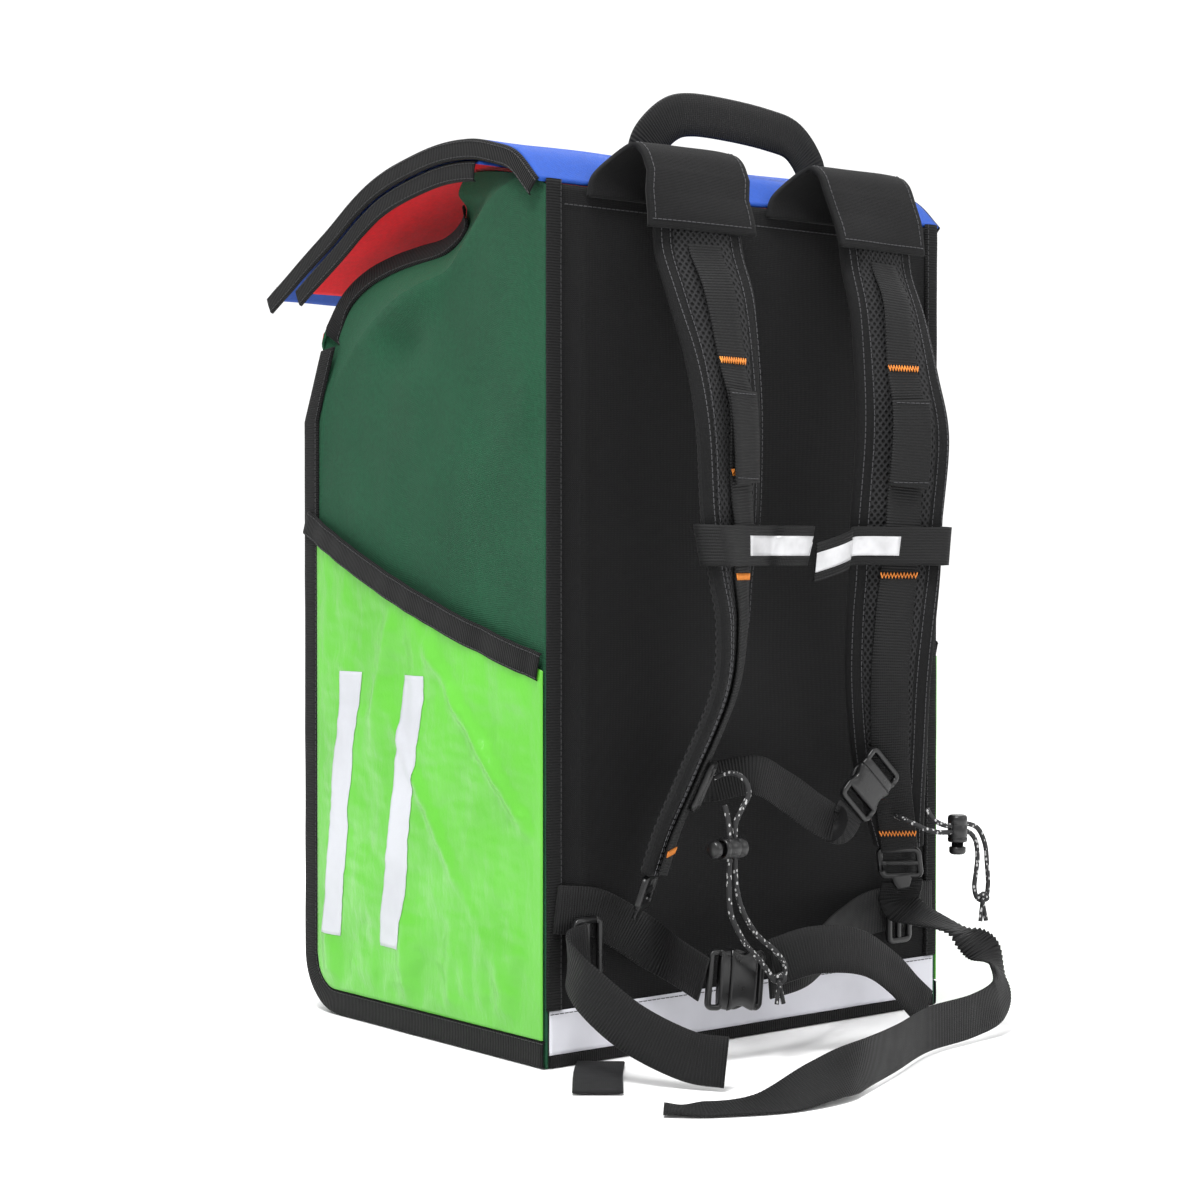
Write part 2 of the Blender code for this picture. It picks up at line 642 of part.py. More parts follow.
def on_strap(low, high, lift, cloth, half, frames):
    """Rings of a flat band on the pad between two stations, lifted off its middle."""
    middle, across, out, _ = frames
    rings = []
    for i in range(low, high + 1):
        ring = []
        for x, n in ((-half, lift), (half, lift), (half, lift + cloth), (-half, lift + cloth)):
            ring.append(middle[i] + across[i] * x + out[i] * n)
        rings.append(ring)
    return np.array(rings)


def shoulder_straps():
    """Padded straps with their caps, webbing, keepers and sternum bands."""
    frames = strap_stations()
    middle, across, out, half = frames
    face = PAD_CLOTH / 2
    pads = []
    for i in range(PAD_STATIONS):
        w, e, t = half[i], PAD_ROUND, PAD_CLOTH
        web = WEB / 2
        ring = ((-w, -t / 5), (-w, t / 5), (e - w, t / 2), (-web, t / 2), (web, t / 2), (w - e, t / 2), (w, t / 5), (w, -t / 5), (w - e, -t / 2), (e - w, -t / 2))
        pads.append([middle[i] + across[i] * x + out[i] * n for x, n in ring])
    pads = np.array(pads)

    arch = smooth(CAP_ARCH, 9)
    cap = []
    for proud, height, grow in arch:
        width = CAP_ROOT + (CAP_WIDTH - CAP_ROOT) * grow
        cap.append((np.array([-STRAP_X, BACK_Y - proud * STRAP_PROUD, height * BACK_HEIGHT]), width / 2))
    lines = np.array([[point + np.array([w * s, 0, 0]) for s in CAP_COLUMNS] for point, w in cap])
    ahead = np.gradient(np.array([point for point, _ in cap]), axis=0)
    side_way = np.stack([np.zeros(len(cap)), ahead[:, 2], -ahead[:, 1]], 1)
    side_way /= np.linalg.norm(side_way, axis=1)[:, None]
    low_rows = [[middle[i] + across[i] * (CAP_WIDTH / 2 * s) + out[i] * (face + GAP + CAP_CLOTH / 2) for s in CAP_COLUMNS] for i in range(CAP_END + 1)]
    lines = np.concatenate([lines, np.array(low_rows)])
    ways = np.concatenate([side_way, out[: CAP_END + 1]])
    shift = ways[:, None, :] * CAP_CLOTH / 2

    lift = face + GAP
    over = lift + WEB_CLOTH + GAP
    webbing = on_strap(CAP_END + 1, PAD_STATIONS - 1, lift, WEB_CLOTH, WEB / 2, frames)
    keeper = on_strap(*KEEPER_ROWS, over, WEB_CLOTH, -KEEPER / 2, frames)
    for side, name in ((-1, "left"), (1, "right")):
        loft("strap_pad_" + name, "black_mesh", mirrored(pads, side))
        slab("strap_cap_" + name, "black_canvas", mirrored(lines + shift, side), mirrored(lines - shift, side))
        loft("strap_webbing_" + name, "black_webbing", mirrored(webbing, side))
        loft("keeper_" + name, "black_webbing", mirrored(keeper, side))
        sternum_band(name, side, frames, over + GAP)


def sternum_band(name, side, frames, lift):
    """A band round the pad with a loose end towards the middle and a reflective tape on it."""
    middle, across, out, half = frames
    fall = 0.0 if side < 0 else 0.30
    behind = PAD_CLOTH / 2 + GAP * 4 + WEB_CLOTH
    rows = []
    for i, up in zip(BAND_ROWS, (0.5, -0.5)):
        w = half[i] + GAP * 2
        path = [middle[i] + across[i] * x + out[i] * n for x, n in ((-w * 0.1, -behind), (-w * 0.8, -behind), (-w, -behind * 0.5), (-w, lift * 0.6), (-w * 0.85, lift + GAP * 5), (-w * 0.1, lift + GAP * 5), (w, lift + GAP * 5))]
        end = path[-1]
        for share in (0.25, 0.5, 0.75, 1.0):
            path.append(end + np.array([BAND_LOOSE * share, -0.004 * math.sin(share * math.pi), -fall * BAND_LOOSE * share]))
        path = np.array(path)
        path[:, 2] = path[:, 2] - middle[i, 2] + (middle[BAND_ROWS[0], 2] + middle[BAND_ROWS[1], 2]) / 2 + up * BAND
        rows.append(path)
    grid = np.array(rows)
    step = np.gradient(grid, axis=1)
    normal = np.stack([step[..., 1], -step[..., 0], np.zeros(step.shape[:2])], -1)
    normal /= np.linalg.norm(normal, axis=-1)[..., None]
    slab("sternum_band_" + name, "black_webbing", mirrored(grid + normal * WEB_CLOTH, side), mirrored(grid, side))
    tape = grid[:, -6:]
    middle_line = tape.mean(axis=0)
    tape = np.array([middle_line + (tape[k] - middle_line) * TAPE / BAND for k in (0, 1)])
    lifted = tape + normal[:, -6:] * (WEB_CLOTH + GAP)
    slab("reflective_tape_" + name, "reflective_tape", mirrored(lifted + normal[:, -6:] * TAPE_CLOTH, side), mirrored(lifted, side))


def webbing(name, rows, width, cloth, count):
    """A band of webbing along rows of a point and its width direction."""
    rows = smooth(rows, count)
    points = rows[:, :3]
    along = np.gradient(points, axis=0)
    along /= np.linalg.norm(along, axis=1)[:, None]
    rings = []
    for point, way, wide in zip(points, along, rows[:, 3:]):
        out = unit(np.cross(way, wide))
        across = np.cross(out, way)
        rings.append([point + across * width * a + out * cloth * n for a, n in ((-0.5, -0.5), (0.5, -0.5), (0.5, 0.5), (-0.5, 0.5))])
    return loft(name, "black_webbing", np.array(rings))


def slide_frame(name, place, width):
    """A flat webbing frame with two slots and a middle bar."""
    half = width / 2 + FRAME_BAR
    across = [-half, -width / 2, width / 2, half]
    along = [-FRAME_REACH, -FRAME_REACH + FRAME_BAR, -FRAME_BAR / 2, FRAME_BAR / 2, FRAME_REACH - FRAME_BAR, FRAME_REACH]
    plate(name, "black_plastic", across, along, FRAME_THICK, ((1, 1), (1, 3)), place)


def side_buckle(name, place, width):
    """A fastened side-release buckle: a hollow half and a half with prongs."""
    half = width / 2 + FRAME_BAR
    across = [-half, -width / 2, width / 2, half]
    length = width * 0.8
    steps = (0.25, 0.60, 0.80)
    along = [GAP / 2] + [length * step for step in steps]
    along += [along[-1] + FRAME_SLOT, along[-1] + FRAME_SLOT + FRAME_BAR]
    plate(name + "_socket", "black_plastic", across, along, FRAME_THICK * 2, ((1, 3), (0, 1), (2, 1)), place)
    along = [-length * 0.30 - FRAME_SLOT - FRAME_BAR, -length * 0.30 - FRAME_SLOT, -length * 0.30, -GAP / 2]
    plate(name + "_prongs", "black_plastic", across, along, FRAME_THICK * 1.5, ((1, 1),), place)


def body_point(x, y, z):
    return np.array([x * BODY_WIDTH, y * BODY_DEPTH, z * BACK_HEIGHT])


def strap_end(side):
    """Place and directions of the frame at the lower end of a shoulder pad."""
    middle, across, out, _ = strap_stations()
    flip = np.array([-side, 1.0, 1.0])
    down = unit(middle[-1] - middle[-2])
    origin = middle[-1] + down * (FRAME_REACH + GAP * 2)
    return origin * flip, across[-1] * flip, down * flip, out[-1] * flip


def strap_face(side, height, shift):
    """A point on the strap webbing's outer face at a share of the back's height, and its directions."""
    middle, across, out, _ = strap_stations()
    i = int(np.argmin(abs(middle[:, 2] - height * BACK_HEIGHT)))
    flip = np.array([-side, 1.0, 1.0])
    lift = PAD_CLOTH / 2 + GAP + WEB_CLOTH
    point = middle[i] + across[i] * shift + out[i] * lift
    return point * flip, across[i] * flip, unit(middle[i + 1] - middle[i - 1]) * flip, out[i] * flip


def hardware():
    """Frames and buckles on the straps and the hip belt."""
    for side, name in ((-1, "left"), (1, "right")):
        origin, across, down, _ = strap_end(side)
        slide_frame("ladder_lock_" + name, frame_at(origin, across, down), WEB * 0.9)
    point, across, down, out = strap_face(-1, GLIDE_HEIGHT, GLIDE_SHIFT)
    point = point + out * (GAP * 2 + FRAME_THICK / 2)
    slide_frame("sternum_glide", frame_at(point, down, across), WEB)
    side_buckle("sternum_buckle", frame_at(body_point(*STERNUM_BUCKLE), BUCKLE_ACROSS, BUCKLE_ALONG), WEB)
    slide_frame("hip_glide_left", frame_at(body_point(-0.425, -0.5320, 0.134), (0, 0, 1), (1, 0, 0)), HIP_WEB)
    slide_frame("hip_glide_right", frame_at(body_point(0.370, -0.5330, 0.125), (0, 0, 1), (1, 0, 0)), HIP_WEB)
    side_buckle("hip_buckle", frame_at(body_point(-0.205, -0.7000, 0.094), (0.1, 0, 1), (1, -0.1, -0.1)), HIP_WEB)


def loose_webbing():
    """The hip belt, its tails, the sternum webbing and the long webbing on the floor."""
    webbing("hip_webbing_left", on_body(HIP_LEFT_ROUTE), HIP_WEB, WEB_CLOTH, 10)
    webbing("hip_webbing_right", on_body(HIP_RIGHT_ROUTE), HIP_WEB, WEB_CLOTH, 10)
    webbing("hip_tail_left", on_body(TAIL_LEFT_ROUTE), HIP_WEB, WEB_CLOTH, 12)
    webbing("hip_tail_right", on_body(TAIL_RIGHT_ROUTE), HIP_WEB, WEB_CLOTH, 11)
    webbing("webbing_end", on_body(END_ROUTE), HIP_WEB, WEB_CLOTH, 4)
    origin, across, down, _ = strap_end(1)
    start = [(*(origin + down * (FRAME_REACH + GAP * 5 + step)), *across) for step in (0.0, 0.020)]
    webbing("floor_webbing", np.vstack([start, on_body(FLOOR_ROUTE)]), HIP_WEB * 0.95, WEB_CLOTH, 36)
    point, across, down, out = strap_face(-1, GLIDE_HEIGHT, GLIDE_SHIFT)
    point = point + out * (GAP * 2 + FRAME_THICK / 2)
    start = [(*(point + across * (FRAME_REACH + GAP * 3 + step)), *down) for step in (0.0, 0.012)]
    route = on_body(STERNUM_ROUTE) * (1, 1, 1, -1, -1, -1)
    far, way = body_point(*STERNUM_BUCKLE), unit(BUCKLE_ALONG)
    ends = [(*(far + way * (BUCKLE_REACH + GAP * 7 + step)), *-unit(BUCKLE_ACROSS)) for step in (0.012, 0.0)]
    webbing("sternum_webbing", np.vstack([start, route, ends]), WEB, WEB_CLOTH, 19)


def cords():
    """Elastic cords as plain tubes along their routes."""
    for name, route in (("cord_left", CORD_LEFT_POINTS), ("cord_right", CORD_RIGHT_POINTS)):
        curve = bpy.data.curves.new(name, "CURVE")
        curve.dimensions = "3D"
        curve.bevel_depth = CORD / 2
        curve.bevel_resolution = 2
        curve.use_fill_caps = True
        points = smooth(route, 42)
        spline = curve.splines.new("POLY")
        spline.points.add(len(points) - 1)
        for point, place in zip(spline.points, points):
            point.co = (*place, 1.0)
        curve.materials.append(material("elastic_cord"))
        bpy.context.scene.collection.objects.link(bpy.data.objects.new(name, curve))


def ring_of(radius, sides, place, along):
    turns = [2 * math.pi * k / sides for k in range(sides)]
    return [place((radius * math.cos(a), radius * math.sin(a), along)) for a in turns]


def cord_lock(name, place):
    """A cord lock: a barrel with a push button, both crossed by a slot for two strands."""
    bore, stem, head = LOCK_RADIUS * 0.70, LOCK_RADIUS * 0.60, LOCK_RADIUS * 0.85
    back, mouth = -LOCK_LENGTH / 2, LOCK_LENGTH / 2
    floor = back + 0.0020
    outline = [(LOCK_RADIUS * 0.8, back), (LOCK_RADIUS, back + 0.0015), (LOCK_RADIUS, mouth), (bore, mouth), (bore, floor)]
    barrel = loft(name + "_barrel", "black_plastic", np.array([ring_of(r, 12, place, z) for r, z in outline]))
    bottom = floor + BUTTON_TRAVEL + GAP
    outline = [(stem, bottom), (stem, mouth + BUTTON_TRAVEL + GAP), (head, mouth + BUTTON_TRAVEL + GAP), (head, mouth + BUTTON_TRAVEL + 0.0055)]
    button = loft(name + "_button", "black_plastic", np.array([ring_of(r, 12, place, z) for r, z in outline]))
    reach, wide = LOCK_RADIUS * 1.5, CORD / 2 + GAP
    for target, low, high in ((barrel, -CORD_PITCH / 2 - wide, CORD_PITCH / 2 + wide), (button, -CORD_PITCH / 2 - wide, CORD_PITCH / 2 + wide + BUTTON_TRAVEL)):
        cutter = cut(target, name + "_slot_" + target.name.split("_")[-1], (-reach, -wide, low), (reach, wide, high))
        for vertex in cutter.data.vertices:
            vertex.co = place(tuple(vertex.co))


bpy.ops.object.select_all(action="DESELECT")
for old in list(bpy.data.objects):
    bpy.data.objects.remove(old, do_unlink=True)

side_panels()
side_pockets()
body_panels()
lid()
handle()
shoulder_straps()
hardware()
loose_webbing()
cords()
cord_lock("lock_left", frame_at((-0.0770, -0.2000, 0.1340), (0, 0, 1), (0, 1, 0)))
cord_lock("lock_right", frame_at((0.1240, -0.2000, 0.1320), (1, 0, 0), (0, -1, 0)))
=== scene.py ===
import math

import bpy
import numpy as np
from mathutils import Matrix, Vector, noise


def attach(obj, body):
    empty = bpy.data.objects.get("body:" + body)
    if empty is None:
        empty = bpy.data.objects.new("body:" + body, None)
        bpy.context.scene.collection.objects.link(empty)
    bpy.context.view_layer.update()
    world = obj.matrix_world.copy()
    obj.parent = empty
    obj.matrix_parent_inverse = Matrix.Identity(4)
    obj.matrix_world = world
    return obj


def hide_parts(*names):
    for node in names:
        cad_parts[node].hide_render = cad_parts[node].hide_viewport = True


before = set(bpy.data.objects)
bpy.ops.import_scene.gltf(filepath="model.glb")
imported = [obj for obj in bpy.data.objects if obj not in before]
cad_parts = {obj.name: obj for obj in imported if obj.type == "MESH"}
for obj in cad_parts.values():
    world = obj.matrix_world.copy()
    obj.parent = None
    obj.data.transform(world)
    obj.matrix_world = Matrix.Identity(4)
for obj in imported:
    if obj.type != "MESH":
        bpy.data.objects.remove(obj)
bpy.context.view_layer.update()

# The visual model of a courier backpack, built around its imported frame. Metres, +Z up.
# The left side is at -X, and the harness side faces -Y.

# Sizes of the bag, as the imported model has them
BODY_WIDTH = 0.342
BODY_DEPTH = 0.270
BACK_HEIGHT = 0.541
FRONT_HEIGHT = 0.462
FRONT_LEAN = 0.026
LEAN_START = 0.405
FRONT_CORNER = 0.040
CLOTH = 0.0020
PADDING = 0.0060
GAP = 0.0004
RIDGE_HEIGHT = 0.0030
RIDGE_WIDTH = 0.0090
RIDGE_INSET = 0.0250
FOLD_DEPTH = 0.0220
BINDING = 0.0170
BINDING_CLOTH = 0.0020
CORNER_BINDING = 0.0115
LID_BINDING = 0.0130
HEM = 0.0175
POCKET_SLACK = 0.0072
POCKET_FRONT_HEIGHT = 0.347
POCKET_BACK_HEIGHT = 0.253
STRIP_HEIGHT = 0.0270
STRIP_BOTTOM = 0.0080
LID_OVERHANG = 0.0060
FLAP_DROP = 0.0136
FLAP_REACH = 0.152
HANDLE_WEB = 0.0280
HANDLE_CLOTH = 0.0030
HANDLE_SPAN = 0.150
HANDLE_RISE = 0.0360
HANDLE_INSET = 0.0235
STRAP_X = 0.0750
STRAP_PROUD = 0.0600
PAD_WIDTH = 0.0680
PAD_CLOTH = 0.0110
CAP_WIDTH = 0.0830
CAP_ROOT = 0.1300
CAP_CLOTH = 0.0030
WEB = 0.0250
WEB_CLOTH = 0.0016
KEEPER = 0.0290
BAND = 0.0250
BAND_LOOSE = 0.0360
TAPE = 0.0125
HIP_WEB = 0.0300
FRAME_THICK = 0.0040
FRAME_BAR = 0.0040
FRAME_SLOT = 0.0055
FRAME_REACH = FRAME_BAR * 1.5 + FRAME_SLOT
BUCKLE_REACH = 0.0255
LOCK_RADIUS = 0.0065
LOCK_LENGTH = 0.0180
BUTTON_TRAVEL = 0.0030
CORD = 0.0033

# Stitches, and how far they lie off the cloth
STITCH = 0.0026
STITCH_GAP = 0.0011
THREAD = 0.00028
TACK_THREAD = 0.00042

BACK_Y = -BODY_DEPTH / 2
FRONT_Y = BODY_DEPTH / 2
SIDE_X = BODY_WIDTH / 2
SIDES = ((-1, "left"), (1, "right"))

# Columns of the left side panel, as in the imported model: y as a share of BODY_DEPTH, z of
# BACK_HEIGHT and tuck of FOLD_DEPTH.
SIDE_FOLD = (
    # crest_y, crest_z, edge_y, edge_z, tuck
    (-0.500, 0.985, -0.500, 0.992, 0.00),
    (-0.465, 0.993, -0.465, 1.002, 0.00),
    (-0.400, 1.006, -0.320, 1.018, 0.30),
    (-0.349, 1.000, -0.130, 1.030, 0.80),
    (-0.318, 0.992, -0.060, 1.012, 0.95),
    (-0.279, 0.980, -0.088, 0.992, 1.00),
    (-0.197, 0.943, -0.072, 0.975, 1.00),
    (-0.128, 0.912, -0.006, 0.960, 1.00),
    (-0.020, 0.899, 0.109, 0.955, 1.00),
    (0.090, 0.880, 0.219, 0.947, 0.90),
    (0.216, 0.850, 0.310, 0.932, 0.70),
    (0.324, 0.810, 0.382, 0.905, 0.45),
    (0.420, 0.760, 0.420, 0.856, 0.00),
)

# Profile of the lid from the back seam over the crest to its front tip.
LID_PROFILE = (
    # y share of BODY_DEPTH, z share of BACK_HEIGHT
    (-0.498, 0.9993),
    (-0.420, 1.034),
    (-0.340, 1.049),
    (-0.225, 1.061),
    (-0.065, 1.060),
    (0.165, 1.037),
    (0.377, 0.985),
    (0.655, 0.912),
)

# The left shoulder pad's middle line from under its cap to its lower end.
STRAP_PATH = (
    # z share of BACK_HEIGHT, x share of STRAP_X, proud share of STRAP_PROUD, width share, twist
    (0.988, 1.04, 0.440, 0.97, 0),
    (0.961, 1.04, 0.510, 0.97, -3),
    (0.920, 1.04, 0.577, 0.99, -5),
    (0.869, 1.03, 0.750, 1.00, -2),
    (0.795, 1.01, 0.917, 0.97, 8),
    (0.721, 1.01, 1.017, 1.00, 16),
    (0.619, 0.97, 0.983, 0.97, 20),
    (0.555, 0.96, 0.967, 0.91, 29),
    (0.499, 0.93, 0.950, 0.87, 36),
    (0.425, 0.96, 0.867, 0.82, 40),
    (0.333, 1.16, 0.640, 0.74, 40),
    (0.268, 1.33, 0.500, 0.61, 38),
    (0.218, 1.44, 0.433, 0.50, 36),
)

# The cap's middle line above the pad.
CAP_ARCH = (
    # proud share of STRAP_PROUD, z share of BACK_HEIGHT, width share from root 0 to cap 1
    (0.034, 0.984, 0.00),
    (0.045, 1.008, 0.15),
    (0.120, 1.030, 0.65),
    (0.270, 1.044, 1.00),
    (0.420, 1.034, 1.00),
    (0.520, 1.012, 1.00),
)

# Routes of the loose webbing: x, y and z as shares of BODY_WIDTH, BODY_DEPTH and
# BACK_HEIGHT, and then the direction of the webbing's width.
HIP_LEFT_ROUTE = (
    (-0.485, -0.5135, 0.180, 0, 0, 1),
    (-0.400, -0.5200, 0.172, 0, 0, 1),
    (-0.330, -0.5220, 0.150, 0, 0, 1),
    (-0.272, -0.5600, 0.122, 0, 0, 1),
    (-0.2600, -0.6925, 0.0975, 0, 0, 1),
)
HIP_RIGHT_ROUTE = (
    (-0.1090, -0.7040, 0.092, 0, 0, 1),
    (0.0000, -0.6900, 0.100, 0, 0, 1),
    (0.1500, -0.6000, 0.120, 0, 0, 1),
    (0.3000, -0.5260, 0.132, 0, 0, 1),
    (0.4800, -0.5135, 0.135, 0, 0, 1),
)
TAIL_LEFT_ROUTE = (
    (-0.430, -0.5437, 0.136, 0, 0, 1),
    (-0.485, -0.5600, 0.130, 0, 0, 1),
    (-0.500, -0.6300, 0.106, 0, 0, 1),
    (-0.465, -0.7400, 0.064, 0.1, 0, 1),
    (-0.410, -0.8500, 0.036, 0.15, 0, 1),
    (-0.370, -0.9250, 0.0310, 0.15, 0, 1),
)
TAIL_RIGHT_ROUTE = (
    (-0.120, -0.7325, 0.110, 0, 0, 1),
    (-0.040, -0.7700, 0.122, 0, 0.2, 1),
    (0.060, -0.7900, 0.114, 0.1, 0.35, 1),
    (0.140, -0.7950, 0.085, 0.4, 0.4, 1),
    (0.190, -0.8000, 0.055, 0.6, 0.4, 1),
    (0.225, -0.8050, 0.036, 0.6, 0.4, 1),
)
FLOOR_ROUTE = (
    (0.390, -0.740, 0.110, -0.4, 0.75, 0.35),
    (0.400, -0.830, 0.072, -0.2, 0.5, 0.8),
    (0.360, -0.880, 0.044, 0, 0.15, 1),
    (0.270, -0.900, 0.0320, 0, 0, 1),
    (0.120, -0.935, 0.0300, 0, 0, 1),
    (-0.050, -1.040, 0.0300, 0, 0, 1),
    (-0.200, -1.120, 0.0300, 0, 0.2, 1),
    (-0.300, -1.130, 0.0220, 0, 1, 0.8),
    (-0.400, -1.110, 0.0070, -0.3, 1, 0.1),
    (-0.500, -1.050, 0.0035, -0.6, 1, 0),
    (-0.555, -0.990, 0.0035, -0.7, 1, 0),
)
END_ROUTE = (
    (-0.400, -0.540, 0.0030, 1, -0.9, 0),
    (-0.470, -0.640, 0.0030, 1, -0.9, 0),
    (-0.560, -0.780, 0.0030, 1, -0.9, 0),
)
STERNUM_ROUTE = (
    (-0.100, -0.645, 0.322, 0, 0, 1),
    (-0.020, -0.640, 0.300, 0, 0, 1),
    (0.050, -0.650, 0.272, 0.2, 0, 1),
)
GLIDE_HEIGHT = 0.336
GLIDE_SHIFT = 0.0060
STERNUM_BUCKLE = (0.192, -0.6690, 0.309)
BUCKLE_ACROSS = (0.73, 0, -0.68)
BUCKLE_ALONG = (-0.68, 0.1, -0.73)

# The cords' routes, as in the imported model
CORD_LEFT_POINTS = (
    (-0.0740, -0.1806, 0.1756),
    (-0.0730, -0.1885, 0.1785),
    (-0.0700, -0.1960, 0.1785),
    (-0.0668, -0.2010, 0.1740),
    (-0.0662, -0.2030, 0.1665),
    (-0.0700, -0.2020, 0.1590),
    (-0.0744, -0.2005, 0.1500),
    (-0.0749, -0.2000, 0.1400),
    (-0.0749, -0.2000, 0.1280),
    (-0.0745, -0.2005, 0.1120),
    (-0.0700, -0.2015, 0.0950),
    (-0.0590, -0.2030, 0.0790),
    (-0.0465, -0.2038, 0.0695),
    (-0.0376, -0.2040, 0.0601),
    (-0.0366, -0.2040, 0.0540),
    (-0.0400, -0.2040, 0.0497),
    (-0.0450, -0.2040, 0.0495),
    (-0.0485, -0.2040, 0.0530),
    (-0.0560, -0.2035, 0.0620),
    (-0.0690, -0.2020, 0.0760),
    (-0.0785, -0.2008, 0.0930),
    (-0.0800, -0.2003, 0.1110),
    (-0.0792, -0.2000, 0.1280),
    (-0.0792, -0.2000, 0.1400),
    (-0.0795, -0.1990, 0.1510),
    (-0.0800, -0.1965, 0.1600),
)
CORD_RIGHT_POINTS = (
    (0.0952, -0.1714, 0.1395),
    (0.0935, -0.1790, 0.1385),
    (0.0945, -0.1880, 0.1360),
    (0.0990, -0.1950, 0.1325),
    (0.1060, -0.1990, 0.1305),
    (0.1140, -0.2000, 0.1299),
    (0.1240, -0.2000, 0.1299),
    (0.1340, -0.2000, 0.1290),
    (0.1410, -0.2003, 0.1230),
    (0.1430, -0.2005, 0.1120),
    (0.1415, -0.2005, 0.1010),
    (0.1400, -0.2005, 0.0920),
    (0.1420, -0.2005, 0.0850),
    (0.1470, -0.2005, 0.0822),
    (0.1520, -0.2005, 0.0850),
    (0.1535, -0.2005, 0.0930),
    (0.1525, -0.2005, 0.1050),
    (0.1505, -0.2005, 0.1190),
    (0.1440, -0.2003, 0.1300),
    (0.1340, -0.2000, 0.1342),
    (0.1240, -0.2000, 0.1342),
    (0.1140, -0.1990, 0.1342),
    (0.1080, -0.1940, 0.1380),
    (0.1060, -0.1890, 0.1450),
)
LOCK_LEFT = (-0.0770, -0.2000, 0.1340)
LOCK_RIGHT = (0.1240, -0.2000, 0.1320)

# Rows of points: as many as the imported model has, along the pads, and along the webbing on them
CAD_ROWS = 27
PAD_ROWS = 110
WEB_ROWS = 220
WEB_STEP = 0.004

# Widths of the mouth's binding and of the canvas along a pad's edges, and the seam of a cap
MOUTH_BINDING = 0.0145
PAD_RIM = 0.0115
CAP_SEAM = 0.0045

# Section of a binding: share of its width, and height off the cloth as a share of its own
RIBBON_SECTION = (
    (0.0, 0.05), (0.04, 0.7), (0.10, 0.95), (0.3, 1.0), (0.5, 1.05), (0.7, 1.0), (0.90, 0.95),
    (0.96, 0.7), (1.0, 0.05),
)

# Long folds of the pocket: a point y and z, slope, width, middle height, reach and depth
POCKET_FOLDS = (
    (-0.083, 0.93, 0.186, 0.007, 0.19, 0.075, 0.0052),
    (-0.020, 0.75, 0.150, 0.006, 0.15, 0.060, 0.0036),
    (0.030, -0.30, 0.240, 0.008, 0.24, 0.060, 0.0036),
)

# The handle's line in shares of half its span and of its rise, and its section
HANDLE_LINE = (
    (-1.0, 0.0), (-0.93, 0.42), (-0.70, 0.85), (-0.45, 1.0), (0.0, 1.0), (0.45, 0.93),
    (0.75, 0.80), (0.95, 0.40), (1.0, 0.0),
)
HANDLE_SECTION = (
    (-0.5, 0), (-0.46, -0.5), (-0.2, -0.5), (0.2, -0.5), (0.46, -0.5), (0.5, 0), (0.46, 0.5),
    (0.2, 0.5), (-0.2, 0.5), (-0.46, 0.5),
)

# Heights of the bartacks and the keepers
TACK = 0.0030
TACK_HEIGHTS = {"left": (0.430, 0.362, 0.300), "right": (0.432, 0.361, 0.300)}
LOW_TACK = {"left": 0.132, "right": 0.130}
KEEPER_HEIGHT = 0.388

# Swelling of the pads by Blender's cloth
SWELL_PRESSURE = 3.0
SWELL_MOST = 0.0009
SWELL_FRAMES = 20
SWELL_STIFFNESS = 40

# How far the painted light on a weave's raised threads lightens its cloth, and the depth of webbing ribs
WEAVE_PAINTED_LIGHT = 0.12
RIB_DEPTH = 0.00045

# Area lights: place, size and power
LIGHTS = (
    ("key", (-1.25, -0.75, 2.7), 0.9, 74),
    ("fill", (1.6, -2.6, 1.6), 1.6, 14),
    ("top", (0.2, 0.2, 2.8), 1.6, 30),
    ("rim", (1.8, 1.2, 1.8), 1.2, 12),
)
WORLD_LIGHT = 0.86

# Camera at the photo's place: azimuth -39 degrees, slightly above the floor
CAMERA_AT = (-1.082, -1.310, 0.313)
CAMERA_TURN = 39.06
CAMERA_PITCH = 1.052
CAMERA_LENS = 73.53


# Shader building


